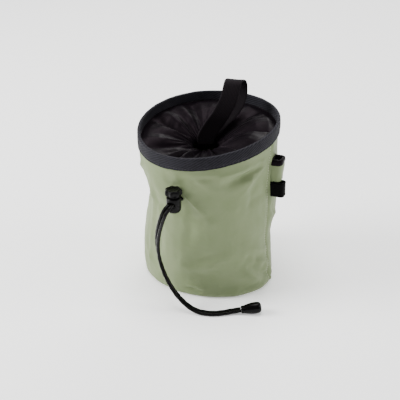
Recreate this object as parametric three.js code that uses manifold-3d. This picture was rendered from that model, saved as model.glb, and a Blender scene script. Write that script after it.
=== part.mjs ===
// A climbing chalk bag: a soft nylon tub with a twill band round its mouth, a pleated collar
// gathered shut by a draw cord and a cord lock, a webbing loop that pulls it open again, a pocket
// for a brush on the side seam and a loop for a belt at the back.
// Millimetres, +Z up. The origin is the middle of the base, and the front faces -Y.
// Azimuths are in degrees round +Z, from +X towards +Y.

import * as THREE from "three";
import { mergeVertices } from "three/addons/utils/BufferGeometryUtils.js";
import Module from "manifold-3d";

const wasm = await Module();
wasm.setup();

// Clearance between two pieces that touch
const gap = 0.3;

// Tub
const rimRadius = 60;
const bagHeight = 140;
const shellWall = 1.6;
const baseCorner = 4;
const rimRise = { right: 6, back: 4.5, saddle: -1.5 };

// Band and collar
const bandHeight = 11;
const bandThickness = 2.4;
const collarThickness = 1;
const collarSeamDepth = 9;
const throatRadius = 12;
const throatDepth = 22;
const throatShift = { x: -2, y: 1 };
const hemThickness = 3;
const pleatDepth = 3.2;

// Webbing loop that pulls the mouth open
const loopWidth = 14.6;
const loopThickness = 1.3;
const loopHeight = 54;
const loopLean = { right: 23, back: 16 };
const loopTuck = 2.2;

// Side seam, and the lined cloth loop and the elastic loop below it that hold a brush there
const seamAzimuth = -26;
const sleeveWidth = 13.5;
const sleeveReach = 9;
const sleeveWall = 1;
const liningWall = 1;
const sleeveDrop = 26;
const sleeveHeight = 17.5;
const mouthRise = 2;
const elasticWidth = 9;
const elasticReach = 12;
const elasticWall = 1.4;
const elasticHeight = 13;

// Loop for a belt
const beltAzimuth = 90;
const beltWidth = 25;
const beltOpening = 42;
const beltReach = 8;
const beltWall = 1.8;
const beltDrop = 22;

// Draw cord, its eyelet, lock and end
const cordDiameter = 3;
const cordSpacing = 3.35;
const lockAzimuth = -116;
const lockHeight = 94.5;
const eyeletFlange = 1.2;
const eyeletProud = 0.6;
const barrelRadius = 6.1;
const barrelBelow = 8.5;
const barrelAbove = 5;
const barrelWall = 1.3;
const buttonRadius = 7.3;
const buttonHeight = 5.2;
const buttonLobes = 7;
const buttonScallop = 1;
const buttonTravel = 1.8;
const stemRadius = 4.6;
const endRadius = 4.9;
const endLength = 17;

// Faces round the tub, up its wall and round the lock's barrel
const roundSteps = 44;
const wallSteps = 18;
const barrelSteps = 24;

// Share of the wall's height at its top over which the folds fade out
const foldFade = 0.08;

// The tub's outline seen from above at each height, with a radius for each point of a compass that
// has e at +X and n at the back. A height is a share of the wall below the band, and a radius is a
// share of rimRadius.
const sections = [
  { height: 0.00, e: 0.945, ne: 0.945, n: 0.945, nw: 0.935, w: 0.925, sw: 0.880, s: 0.920, se: 1.045 },
  { height: 0.10, e: 0.930, ne: 0.940, n: 0.945, nw: 0.940, w: 0.942, sw: 0.905, s: 0.915, se: 1.010 },
  { height: 0.24, e: 0.920, ne: 0.945, n: 0.950, nw: 0.945, w: 0.938, sw: 0.915, s: 0.922, se: 0.960 },
  { height: 0.32, e: 0.905, ne: 0.942, n: 0.950, nw: 0.942, w: 0.925, sw: 0.918, s: 0.925, se: 0.945 },
  { height: 0.41, e: 0.950, ne: 0.950, n: 0.950, nw: 0.940, w: 0.900, sw: 0.915, s: 0.925, se: 0.940 },
  { height: 0.52, e: 0.988, ne: 0.965, n: 0.950, nw: 0.930, w: 0.862, sw: 0.905, s: 0.930, se: 0.940 },
  { height: 0.64, e: 0.985, ne: 0.970, n: 0.950, nw: 0.920, w: 0.832, sw: 0.905, s: 0.935, se: 0.945 },
  { height: 0.74, e: 0.972, ne: 0.968, n: 0.955, nw: 0.935, w: 0.890, sw: 0.925, s: 0.945, se: 0.950 },
  { height: 0.85, e: 0.966, ne: 0.967, n: 0.965, nw: 0.955, w: 0.958, sw: 0.955, s: 0.960, se: 0.960 },
  { height: 1.00, e: 0.976, ne: 0.978, n: 0.978, nw: 0.976, w: 0.976, sw: 0.976, s: 0.976, se: 0.976 },
];
const directions = ["e", "ne", "n", "nw", "w", "sw", "s", "se"];

// Folds of the tub, each along a line from one place on the wall to another. A positive rise is
// a ridge and a negative one a crease. Widths and rises are shares of rimRadius.
const folds = [
  { from: { azimuth: -118, height: 0.84 }, to: { azimuth: -96, height: 0.68 }, width: 0.070, rise: 0.028 },
  { from: { azimuth: -113, height: 0.70 }, to: { azimuth: -104, height: 0.46 }, width: 0.110, rise: -0.030 },
  { from: { azimuth: -102, height: 0.46 }, to: { azimuth: -84, height: 0.60 }, width: 0.080, rise: 0.014 },
  { from: { azimuth: -72, height: 0.86 }, to: { azimuth: -44, height: 0.92 }, width: 0.055, rise: -0.030 },
  { from: { azimuth: -60, height: 0.82 }, to: { azimuth: -40, height: 0.88 }, width: 0.055, rise: 0.026 },
  { from: { azimuth: -60, height: 0.82 }, to: { azimuth: -64, height: 0.70 }, width: 0.070, rise: 0.016 },
  { from: { azimuth: -90, height: 0.26 }, to: { azimuth: -67, height: 0.35 }, width: 0.080, rise: 0.016 },
  { from: { azimuth: -58, height: 0.33 }, to: { azimuth: -33, height: 0.13 }, width: 0.070, rise: 0.024 },
  { from: { azimuth: -72, height: 0.09 }, to: { azimuth: -28, height: 0.07 }, width: 0.060, rise: -0.022 },
  { from: { azimuth: -142, height: 0.88 }, to: { azimuth: -148, height: 0.56 }, width: 0.070, rise: 0.026 },
  { from: { azimuth: -158, height: 0.84 }, to: { azimuth: -166, height: 0.66 }, width: 0.080, rise: -0.024 },
  { from: { azimuth: -140, height: 0.44 }, to: { azimuth: -145, height: 0.18 }, width: 0.060, rise: -0.018 },
  { from: { azimuth: -26, height: 0.92 }, to: { azimuth: -26, height: 0.06 }, width: 0.045, rise: -0.022 },
  { from: { azimuth: -116, height: 0.88 }, to: { azimuth: -116, height: 0.72 }, width: 0.130, rise: -0.030 },
  { from: { azimuth: 30, height: 0.80 }, to: { azimuth: 52, height: 0.55 }, width: 0.100, rise: -0.026 },
  { from: { azimuth: 128, height: 0.78 }, to: { azimuth: 150, height: 0.60 }, width: 0.100, rise: -0.030 },
  { from: { azimuth: 60, height: 0.30 }, to: { azimuth: 120, height: 0.24 }, width: 0.090, rise: 0.018 },
];

// Pleats of the collar, a row each. A share of 1 lifts the pleat by pleatDepth, and width is how
// many degrees it takes round the throat.
const pleats = [
  { azimuth: 4, share: 0.75, width: 9 },
  { azimuth: 24, share: 0.60, width: 8 },
  { azimuth: 46, share: 0.85, width: 10 },
  { azimuth: 72, share: 0.60, width: 9 },
  { azimuth: 97, share: 0.80, width: 10 },
  { azimuth: 118, share: 0.70, width: 8 },
  { azimuth: 139, share: 1.00, width: 10 },
  { azimuth: 161, share: 0.65, width: 8 },
  { azimuth: 181, share: 1.00, width: 10 },
  { azimuth: 203, share: 0.90, width: 9 },
  { azimuth: 224, share: 0.70, width: 8 },
  { azimuth: 243, share: 0.95, width: 8 },
  { azimuth: 261, share: 0.80, width: 7 },
  { azimuth: 279, share: 0.95, width: 8 },
  { azimuth: 299, share: 0.75, width: 8 },
  { azimuth: 320, share: 1.00, width: 9 },
  { azimuth: 341, share: 0.85, width: 8 },
];

// How the collar falls from the band to the throat. Inward is a share of the way to the throat,
// drop a share of the whole fall, and pleat how much of each pleat shows there.
const collarRows = [
  { inward: 0.00, drop: 0.00, pleat: 0.10 },
  { inward: 0.14, drop: -0.06, pleat: 0.55 },
  { inward: 0.36, drop: 0.06, pleat: 1.00 },
  { inward: 0.60, drop: 0.32, pleat: 1.00 },
  { inward: 0.80, drop: 0.62, pleat: 0.85 },
  { inward: 0.93, drop: 0.82, pleat: 0.60 },
  { inward: 1.00, drop: 1.00, pleat: 0.40 },
];

// The webbing loop from the throat up its front strand, over and down its back strand. Right and
// back are shares of loopLean, up a share of loopHeight, and turn how far the flat of the
// webbing is turned round +Z.
const loopRows = [
  { right: 0.00, back: 0.42, up: 0.00, turn: 0 },
  { right: 0.00, back: 0.42, up: 0.12, turn: 0 },
  { right: 0.22, back: 0.43, up: 0.30, turn: 2 },
  { right: 0.54, back: 0.47, up: 0.50, turn: 2 },
  { right: 0.82, back: 0.64, up: 0.73, turn: 0 },
  { right: 0.93, back: 0.82, up: 0.92, turn: -3 },
  { right: 0.98, back: 0.95, up: 0.985, turn: -6 },
  { right: 1.05, back: 1.14, up: 1.00, turn: -10 },
  { right: 1.13, back: 1.33, up: 0.975, turn: -14 },
  { right: 1.22, back: 1.46, up: 0.90, turn: -18 },
  { right: 1.22, back: 1.46, up: 0.70, turn: -26 },
  { right: 0.98, back: 1.20, up: 0.50, turn: -20 },
  { right: 0.48, back: 0.80, up: 0.32, turn: -6 },
  { right: 0.04, back: 0.54, up: 0.15, turn: 0 },
  { right: 0.00, back: 0.53, up: 0.00, turn: 0 },
];

// The cloth loop for the brush from its bottom to its mouth. Up is a share of sleeveHeight, reach
// of sleeveReach and width of sleeveWidth.
const sleeveRows = [
  { up: 0.00, reach: 0.88, width: 0.80 },
  { up: 0.30, reach: 0.92, width: 0.86 },
  { up: 0.70, reach: 0.98, width: 0.96 },
  { up: 1.00, reach: 1.00, width: 1.00 },
];

// The profile of the cord end, from its neck to its blunt tip. Along is a share of endLength and
// radius of endRadius.
const endRows = [
  { along: 0.00, radius: 0.66 },
  { along: 0.14, radius: 0.70 },
  { along: 0.32, radius: 0.86 },
  { along: 0.58, radius: 1.00 },
  { along: 0.82, radius: 0.98 },
  { along: 0.94, radius: 0.82 },
  { along: 1.00, radius: 0.45 },
];

// The draw cord's route, chosen by hand: the middle of its two strands, in millimetres, and the
// azimuth of the line from the left strand to the right one.
const cordRoute = [
  { x: -23.0, y: -47.2, z: 94.5, pair: -26 },
  { x: -26.1, y: -53.6, z: 94.5, pair: -26 },
  { x: -28.8, y: -59.2, z: 94.5, pair: -26 },
  { x: -31.4, y: -64.0, z: 94.4, pair: -27 },
  { x: -34.2, y: -67.4, z: 92.4, pair: -32 },
  { x: -36.6, y: -68.4, z: 88.0, pair: -40 },
  { x: -38.6, y: -66.8, z: 81.4, pair: -47 },
  { x: -40.4, y: -63.8, z: 73.4, pair: -53 },
  { x: -41.7, y: -60.8, z: 65.0, pair: -60 },
  { x: -42.2, y: -58.6, z: 56.4, pair: -70 },
  { x: -41.7, y: -57.9, z: 48.0, pair: -80 },
  { x: -40.5, y: -58.3, z: 40.2, pair: -85 },
  { x: -38.4, y: -60.1, z: 33.2, pair: -86 },
  { x: -35.8, y: -62.4, z: 27.0, pair: -86 },
  { x: -32.3, y: -65.2, z: 20.9, pair: -86 },
  { x: -28.0, y: -68.4, z: 15.0, pair: -87 },
  { x: -22.7, y: -71.5, z: 9.6, pair: -88 },
  { x: -16.5, y: -74.6, z: 5.0, pair: -90 },
  { x: -9.4, y: -77.6, z: 2.2, pair: -90 },
  { x: -2.0, y: -79.6, z: 1.6, pair: -90 },
  { x: 5.6, y: -80.2, z: 1.6, pair: -90 },
  { x: 13.0, y: -79.0, z: 1.7, pair: -90 },
  { x: 20.2, y: -77.6, z: 2.3, pair: -90 },
  { x: 27.0, y: -77.0, z: 3.2, pair: -90 },
];
const cordSteps = 34;
const endPlace = { x: 27.3, y: -77.0 };

function radians(degrees) {
  return THREE.MathUtils.degToRad(degrees);
}

function polar(radius, azimuth, z) {
  const a = radians(azimuth);
  return new THREE.Vector3(radius * Math.cos(a), radius * Math.sin(a), z);
}

// Smallest turn between two azimuths, in degrees
function turnBetween(a, b) {
  return THREE.MathUtils.euclideanModulo(a - b + 180, 360) - 180;
}

// Value of a smooth curve through four even samples, between the middle two
function smooth(a, b, c, d, t) {
  const slopes = { start: (c - a) / 2, end: (d - b) / 2 };
  const rise = c - b;
  const bend = 3 * rise - 2 * slopes.start - slopes.end;
  const twist = slopes.start + slopes.end - 2 * rise;
  return b + slopes.start * t + bend * t * t + twist * t * t * t;
}

// Value of a table's column at a place in its ordering column, smoothly between rows
function column(rows, order, name, at) {
  const last = rows.length - 2;
  const next = rows.findIndex((row) => row[order] > at);
  const i = next < 0 ? last : Math.min(Math.max(next - 1, 0), last);
  const span = rows[i + 1][order] - rows[i][order];
  const t = THREE.MathUtils.clamp((at - rows[i][order]) / span, 0, 1);
  const before = rows[Math.max(i - 1, 0)][name];
  const after = rows[Math.min(i + 2, rows.length - 1)][name];
  return smooth(before, rows[i][name], rows[i + 1][name], after, t);
}

// Height of the rim's top edge, which rises to the right and the back
function rimHeight(azimuth) {
  const a = radians(azimuth);
  const tilt = rimRise.right * Math.cos(a) + rimRise.back * Math.sin(a);
  return bagHeight + tilt + rimRise.saddle * Math.sin(2 * a);
}

// Height of the tub's wall, up to the band
function wallHeight(azimuth) {
  return rimHeight(azimuth) - bandHeight - gap;
}

// Distance from a place on the wall to a fold's line, measured on the cloth
function distanceToFold(fold, azimuth, height) {
  const tall = bagHeight - bandHeight;
  const across = (a) => radians(turnBetween(a, azimuth)) * rimRadius;
  const start = new THREE.Vector2(across(fold.from.azimuth), (fold.from.height - height) * tall);
  const end = new THREE.Vector2(across(fold.to.azimuth), (fold.to.height - height) * tall);
  const along = end.clone().sub(start);
  const t = THREE.MathUtils.clamp(-start.dot(along) / along.lengthSq(), 0, 1);
  return start.addScaledVector(along, t).length();
}

// Outer radius of the tub at an azimuth and a height given as a share of the wall
function tubRadius(azimuth, height) {
  const place = THREE.MathUtils.euclideanModulo(azimuth, 360) / (360 / directions.length);
  const i = Math.floor(place);
  const around = [i - 1, i, i + 1, i + 2].map((k) => {
    const name = directions[THREE.MathUtils.euclideanModulo(k, directions.length)];
    return column(sections, "height", name, height);
  });
  let share = smooth(...around, place - i);
  for (const fold of folds) {
    const away = distanceToFold(fold, azimuth, height) / (fold.width * rimRadius);
    const fade = THREE.MathUtils.smoothstep(1 - height, 0, foldFade);
    share += fold.rise * Math.exp(-away * away) * fade;
  }
  return share * rimRadius;
}

// Outer radius of the tub at a height in millimetres
function tubRadiusAt(azimuth, z) {
  return tubRadius(azimuth, z / wallHeight(azimuth));
}

// One closed body from a list of rings that have as many points each. The ends are closed to a
// pole where a ring is a single point, or by a flat cap, and join links the last ring to the first.
function skin(rings, join = false) {
  const points = rings.flat();
  const starts = [];
  rings.reduce((sum, ring) => (starts.push(sum), sum + ring.length), 0);
  const faces = [];
  const links = join ? rings.length : rings.length - 1;
  for (let r = 0; r < links; r++) {
    const s = (r + 1) % rings.length;
    const count = Math.max(rings[r].length, rings[s].length);
    for (let i = 0; i < count; i++) {
      const j = (i + 1) % count;
      const at = (ring, k) => starts[ring] + (rings[ring].length > 1 ? k : 0);
      if (rings[r].length > 1) faces.push(at(r, i), at(r, j), at(s, j));
      if (rings[s].length > 1) faces.push(at(r, i), at(s, j), at(s, i));
    }
  }
  if (!join) {
    for (const [r, flip] of [[0, true], [rings.length - 1, false]]) {
      if (rings[r].length === 1) continue;
      for (const [a, b, c] of capFaces(rings[r])) {
        const corners = [starts[r] + a, starts[r] + b, starts[r] + c];
        faces.push(...(flip ? corners.reverse() : corners));
      }
    }
  }
  const geometry = new THREE.BufferGeometry().setFromPoints(points);
  geometry.setIndex(faces);
  return outward(geometry);
}

// Triangles that fill a flat ring, turned the same way as the ring
function capFaces(ring) {
  const middle = ring.reduce((sum, p) => sum.add(p), new THREE.Vector3()).divideScalar(ring.length);
  const normal = new THREE.Vector3();
  ring.forEach((p, i) => {
    const q = ring[(i + 1) % ring.length];
    normal.add(p.clone().sub(middle).cross(q.clone().sub(middle)));
  });
  normal.normalize();
  const across = ring[0].clone().sub(middle).projectOnPlane(normal).normalize();
  const up = normal.clone().cross(across);
  const flat = ring.map((p) => {
    const away = p.clone().sub(middle);
    return new THREE.Vector2(away.dot(across), away.dot(up));
  });
  return THREE.ShapeUtils.triangulateShape(flat, []);
}

// The same geometry with its faces turned to point out
function outward(geometry) {
  const p = geometry.attributes.position;
  const index = geometry.index.array;
  const corner = (i) => new THREE.Vector3().fromBufferAttribute(p, index[i]);
  let volume = 0;
  for (let i = 0; i < index.length; i += 3) {
    volume += corner(i).dot(corner(i + 1).cross(corner(i + 2)));
  }
  if (volume < 0) geometry.setIndex(Array.from(index).reverse());
  return geometry;
}

// A closed geometry as a solid that can be joined and cut
function solid(geometry) {
  const bare = geometry.clone();
  bare.deleteAttribute("normal");
  bare.deleteAttribute("uv");
  const merged = mergeVertices(bare, 1e-4);
  const corners = merged.index.array;
  const kept = [];
  for (let i = 0; i < corners.length; i += 3) {
    const [a, b, c] = corners.slice(i, i + 3);
    if (a !== b && b !== c && c !== a) kept.push(a, b, c);
  }
  return new wasm.Manifold(new wasm.Mesh({
    numProp: 3,
    vertProperties: merged.attributes.position.array,
    triVerts: new Uint32Array(kept),
  }));
}

// A solid as a geometry
function geometryOf(made) {
  const mesh = made.getMesh();
  const positions = new Float32Array(mesh.numVert * 3);
  for (let i = 0; i < mesh.numVert; i++) {
    const start = i * mesh.numProp;
    positions.set(mesh.vertProperties.subarray(start, start + 3), i * 3);
  }
  const geometry = new THREE.BufferGeometry();
  geometry.setAttribute("position", new THREE.BufferAttribute(positions, 3));
  geometry.setIndex(new THREE.BufferAttribute(mesh.triVerts, 1));
  return geometry;
}

const materials = {
  nylon: new THREE.MeshStandardMaterial({ color: 0x97a088, roughness: 0.75 }),
  twill: new THREE.MeshStandardMaterial({ color: 0x35343a, roughness: 0.9 }),
  blackNylon: new THREE.MeshStandardMaterial({ color: 0x1c181d, roughness: 0.6 }),
  webbing: new THREE.MeshStandardMaterial({ color: 0x2b262a, roughness: 0.8 }),
  elastic: new THREE.MeshStandardMaterial({ color: 0x0a0809, roughness: 0.85 }),
  plastic: new THREE.MeshStandardMaterial({ color: 0x151316, roughness: 0.35 }),
  cord: new THREE.MeshStandardMaterial({ color: 0x171412, roughness: 0.7 }),
};

const bag = new THREE.Group();

function addPiece(name, geometry, material) {
  const mesh = new THREE.Mesh(geometry, material);
  mesh.name = name;
  bag.add(mesh);
  return mesh;
}

function around(count, pointAt) {
  return Array.from({ length: count }, (_, i) => pointAt((360 * i) / count));
}

// The tub's skin, moved out by some distance, from the middle of its base up to its top edge. The
// wall turns under through a quarter circle at the base.
function tubRings(out, floor) {
  const turn = baseCorner + out;
  const rings = [[new THREE.Vector3(0, 0, floor)]];
  const ringAt = (height, inset) => around(roundSteps, (azimuth) => {
    const share = height / wallHeight(azimuth);
    return polar(tubRadius(azimuth, share) + out - inset, azimuth, height);
  });
  const flat = around(roundSteps, (azimuth) => {
    const radius = tubRadius(azimuth, 0) + out - turn;
    return polar(radius, azimuth, floor);
  });
  rings.push(flat.map((p) => new THREE.Vector3(p.x / 2, p.y / 2, floor)), flat);
  for (const angle of [30, 60]) {
    const a = radians(angle);
    rings.push(ringAt(floor + turn * (1 - Math.cos(a)), turn * (1 - Math.sin(a))));
  }
  for (let i = 0; i <= wallSteps; i++) {
    const t = i / wallSteps;
    rings.push(around(roundSteps, (azimuth) => {
      const tall = wallHeight(azimuth);
      const height = THREE.MathUtils.lerp(floor + turn, tall, t);
      return polar(tubRadius(azimuth, height / tall) + out, azimuth, height);
    }));
  }
  return rings;
}

// The tub without its hollow, grown by some distance
function filledTub(out) {
  const rings = tubRings(out, -out);
  const top = around(roundSteps, (azimuth) => polar(rimRadius, azimuth, rimHeight(azimuth)));
  return solid(skin([...rings, top, [new THREE.Vector3(0, 0, bagHeight)]]));
}

// What pieces on the tub's wall are cut back by, so that they seat on it
const tubEnvelope = filledTub(gap);

function seatOnTub(geometry) {
  return geometryOf(solid(geometry).subtract(tubEnvelope));
}

// Place on the wall that a lock, an eyelet or a loop is set out from: x across the wall, y up it
// and z straight out
function wallFrame(azimuth, radius, z) {
  const out = polar(1, azimuth, 0);
  const up = new THREE.Vector3(0, 0, 1);
  const across = up.clone().cross(out);
  return new THREE.Matrix4().makeBasis(across, up, out).setPosition(polar(radius, azimuth, z));
}

const cordPairWidth = cordSpacing + cordDiameter;
const eyeletHole = { width: cordPairWidth + 4 * gap, height: cordDiameter + 4 * gap };

// An oval outline, wider than tall, with round ends
function oval(width, height, steps) {
  const r = height / 2;
  const half = width / 2 - r;
  return around(steps, (angle) => {
    const a = radians(angle + 180 / steps);
    const side = Math.cos(a) > 0 ? half : -half;
    return new THREE.Vector2(side + r * Math.cos(a), r * Math.sin(a));
  });
}

// A straight prism of an outline in the wall's frame, between two distances out
function prism(outline, from, to, frame) {
  const ring = (z) => outline.map((p) => new THREE.Vector3(p.x, p.y, z).applyMatrix4(frame));
  return skin([ring(from), ring(to)]);
}

const lockWallRadius = tubRadiusAt(lockAzimuth, lockHeight);
const lockFrame = wallFrame(lockAzimuth, lockWallRadius, lockHeight);

function addTub() {
  const outer = tubRings(0, 0);
  const inner = tubRings(-shellWall, shellWall);
  const shell = solid(skin([...outer, ...inner.reverse()]));
  const hole = oval(eyeletHole.width + 2 * gap, eyeletHole.height + 2 * gap, 12);
  const cutter = prism(hole, -4 * shellWall, 4 * shellWall, lockFrame);
  addPiece("bag_body", geometryOf(shell.subtract(solid(cutter))), materials.nylon);
}

// The ring round the cord's hole, which hugs the wall behind the lock
function addEyelet() {
  const width = eyeletHole.width + 2 * eyeletFlange;
  const height = eyeletHole.height + 2 * eyeletFlange;
  const reach = 4 * shellWall;
  const layer = filledTub(gap + eyeletProud).subtract(tubEnvelope);
  const flange = solid(prism(oval(width, height, 20), -reach, reach, lockFrame));
  const bore = solid(prism(oval(eyeletHole.width, eyeletHole.height, 12), -2 * reach, 2 * reach, lockFrame));
  addPiece("eyelet", geometryOf(layer.intersect(flange).subtract(bore)), materials.plastic);
}

// The twill folded over the mouth: a tall band with a rounded top
function addBand() {
  const rounding = bandThickness / 2;
  const side = bandHeight - rounding;
  const outline = [{ out: 0, up: 0 }, { out: 0, up: side / 2 }, { out: 0, up: side }];
  for (const angle of [45, 90, 135]) {
    const a = radians(angle);
    outline.push({ out: rounding * (Math.cos(a) - 1), up: side + rounding * Math.sin(a) });
  }
  outline.push({ out: -bandThickness, up: side }, { out: -bandThickness, up: 0 });
  const rings = around(roundSteps, (azimuth) => {
    const foot = rimHeight(azimuth) - bandHeight;
    return outline.map((p) => polar(rimRadius + p.out, azimuth, foot + p.up));
  });
  addPiece("rim_band", skin(rings, true), materials.twill);
}

const collarSteps = 72;
const throatHeight = bagHeight - throatDepth;

// How high the pleats stand at an azimuth, from -1 in the valleys to 1
function pleatWave(azimuth) {
  return pleats.reduce((sum, pleat) => {
    const away = turnBetween(azimuth, pleat.azimuth) / pleat.width;
    return sum + 2 * pleat.share * Math.exp(-away * away);
  }, -1);
}

// Top of the collar at an azimuth and a share of the way in from the band to the throat
function collarPoint(azimuth, inward) {
  const edge = polar(rimRadius - bandThickness - gap, azimuth, rimHeight(azimuth) - collarSeamDepth);
  const throat = polar(throatRadius, azimuth, throatHeight);
  throat.add(new THREE.Vector3(throatShift.x, throatShift.y, 0));
  const point = edge.clone().lerp(throat, inward);
  point.z = edge.z - (edge.z - throatHeight) * column(collarRows, "inward", "drop", inward);
  point.z += pleatDepth * pleatWave(azimuth) * column(collarRows, "inward", "pleat", inward);
  return point;
}

function addCollar() {
  const top = collarRows.map((row) => around(collarSteps, (azimuth) => collarPoint(azimuth, row.inward)));
  const under = top.map((ring, i) => {
    const thick = i === top.length - 1 ? hemThickness : collarThickness;
    return ring.map((p) => p.clone().setZ(p.z - thick));
  });
  addPiece("collar", skin([...top, ...under.reverse()], true), materials.blackNylon);
}

// A ribbon of webbing along rows of points with a turn each, square to its own path
function ribbon(points, turns, width, thickness) {
  const curve = new THREE.CatmullRomCurve3(points, false, "centripetal");
  const steps = 3 * (points.length - 1);
  const rings = [];
  for (let i = 0; i <= steps; i++) {
    const at = (i / steps) * (points.length - 1);
    const k = Math.min(Math.floor(at), points.length - 2);
    const turn = radians(THREE.MathUtils.lerp(turns[k], turns[k + 1], at - k));
    const along = curve.getTangent(i / steps);
    const side = new THREE.Vector3(Math.cos(turn), Math.sin(turn), 0);
    side.addScaledVector(along, -side.dot(along)).normalize();
    const face = side.clone().cross(along);
    const middle = curve.getPoint(i / steps);
    rings.push([[-1, -1], [1, -1], [1, 1], [-1, 1]].map(([w, t]) => middle.clone()
      .addScaledVector(side, (w * width) / 2)
      .addScaledVector(face, (t * thickness) / 2)));
  }
  return skin(rings);
}

function addPullLoop() {
  const foot = throatHeight - loopTuck;
  const points = loopRows.map((row) => new THREE.Vector3(
    throatShift.x + row.right * loopLean.right,
    throatShift.y + row.back * loopLean.back,
    foot + row.up * loopHeight,
  ));
  const turns = loopRows.map((row) => row.turn);
  addPiece("pull_loop", ribbon(points, turns, loopWidth, loopThickness), materials.webbing);
}

// Outline of a strap laid over the wall as a loop, seen along its tunnel: x across the loop and y
// out from the wall, with its two legs running into the wall
function loopOutline(width, reach, wall, legs) {
  const corner = Math.min(reach, width / 2) * 0.6;
  const path = (inset) => {
    const half = width / 2 - inset;
    const top = reach - inset;
    const r = Math.max(corner - inset, corner / 5);
    const points = [new THREE.Vector2(half, -legs)];
    for (const [side, first] of [[1, 0], [-1, 90]]) {
      for (const step of [0, 45, 90]) {
        const a = radians(first + step);
        points.push(new THREE.Vector2(side * (half - r) + r * Math.cos(a), top - r + r * Math.sin(a)));
      }
    }
    points.push(new THREE.Vector2(-half, -legs));
    return points;
  };
  return [...path(0), ...path(wall).reverse()];
}

// Where the middle of a loop as wide as this stands when its front leg is in the side seam
function seamFrame(width, z) {
  const seam = tubRadiusAt(seamAzimuth, z);
  const azimuth = seamAzimuth + THREE.MathUtils.radToDeg(Math.asin(width / 2 / seam));
  return wallFrame(azimuth, tubRadiusAt(azimuth, z), z);
}

const sleeveTop = bagHeight - sleeveDrop;

// The cloth loop or its lining, which lies inside it by an inset, with its mouth cut at a slant
function sleeveLayer(inset, wall) {
  const rings = sleeveRows.map((row) => {
    const z = sleeveTop - sleeveHeight * (1 - row.up);
    const frame = seamFrame(sleeveWidth, z);
    const width = row.width * sleeveWidth - 2 * inset;
    const reach = row.reach * sleeveReach - inset;
    return loopOutline(width, reach, wall, sleeveReach).map((p) => {
      const slant = row.up * mouthRise * (p.x / sleeveWidth);
      return new THREE.Vector3(p.x, slant, p.y).applyMatrix4(frame);
    });
  });
  return seatOnTub(skin(rings));
}

function addBrushHolder() {
  addPiece("brush_sleeve", sleeveLayer(0, sleeveWall), materials.nylon);
  addPiece("sleeve_lining", sleeveLayer(sleeveWall + gap, liningWall), materials.blackNylon);
  const top = sleeveTop - sleeveHeight - 2 * gap;
  const outline = loopOutline(elasticWidth, elasticReach, elasticWall, elasticReach);
  const rings = [top - elasticHeight, top].map((z) => {
    const frame = seamFrame(elasticWidth, top).setPosition(0, 0, 0);
    const foot = new THREE.Vector3().setFromMatrixPosition(seamFrame(elasticWidth, top)).setZ(z);
    return outline.map((p) => new THREE.Vector3(p.x, 0, p.y).applyMatrix4(frame).add(foot));
  });
  addPiece("brush_elastic", seatOnTub(skin(rings)), materials.elastic);
}

function addBeltLoop() {
  const tall = beltOpening + 2 * beltWall;
  const middle = bagHeight - beltDrop - tall / 2;
  const frame = wallFrame(beltAzimuth, tubRadiusAt(beltAzimuth, middle), middle);
  const outline = loopOutline(tall, beltReach, beltWall, beltReach);
  const rings = [-beltWidth / 2, beltWidth / 2].map((across) => outline
    .map((p) => new THREE.Vector3(across, p.x, p.y).applyMatrix4(frame)));
  addPiece("belt_loop", seatOnTub(skin(rings)), materials.webbing);
}

// A body turned about an upright axis at the lock from rows of radius and height, with a wavy
// edge where it has lobes
function turned(profile, frame, steps, lobes = 0, lobeDepth = 0) {
  return skin(profile.map(([radius, up]) => {
    if (radius === 0) return [new THREE.Vector3(0, up, 0).applyMatrix4(frame)];
    return around(steps, (angle) => {
      const a = radians(angle);
      const r = radius - lobeDepth * (0.5 - 0.5 * Math.cos(lobes * a));
      return new THREE.Vector3(r * Math.cos(a), up, r * Math.sin(a)).applyMatrix4(frame);
    });
  }));
}

// The cord lock stands off the wall with its axis upright, clear of the eyelet behind its barrel
// and of the cloth behind its button
const buttonFoot = barrelAbove + buttonTravel + gap;
const clothBehindButton = Math.max(...[0, 0.5, 1].map((up) => (
  tubRadiusAt(lockAzimuth, lockHeight + buttonFoot + up * buttonHeight))));
const lockRadius = gap + Math.max(
  lockWallRadius + gap + eyeletProud + barrelRadius,
  clothBehindButton + buttonRadius,
);
const lockAxis = wallFrame(lockAzimuth, lockRadius, lockHeight);
const lockHole = { width: cordPairWidth + 4 * gap, height: cordDiameter + 4 * gap };
const stemFloor = barrelBelow - barrelWall;

function addLockBarrel() {
  const r = barrelRadius;
  const round = 0.3 * r;
  const shell = turned([
    [0, -barrelBelow],
    [r - 2 * round, -barrelBelow],
    [r - 0.6 * round, -barrelBelow + 0.5 * round],
    [r, -barrelBelow + 1.5 * round],
    [r, barrelAbove - 0.3 * round],
    [r - 0.3 * round, barrelAbove],
    [0, barrelAbove],
  ], lockAxis, barrelSteps);
  const bore = turned([
    [0, -stemFloor],
    [stemRadius + gap, -stemFloor],
    [stemRadius + gap, 2 * barrelAbove],
    [0, 2 * barrelAbove],
  ], lockAxis, barrelSteps);
  const cross = prism(oval(lockHole.width, lockHole.height, 16), -2 * r, 2 * r, lockAxis);
  const made = solid(shell).subtract(solid(bore)).subtract(solid(cross));
  addPiece("lock_barrel", geometryOf(made), materials.plastic);
}

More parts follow.
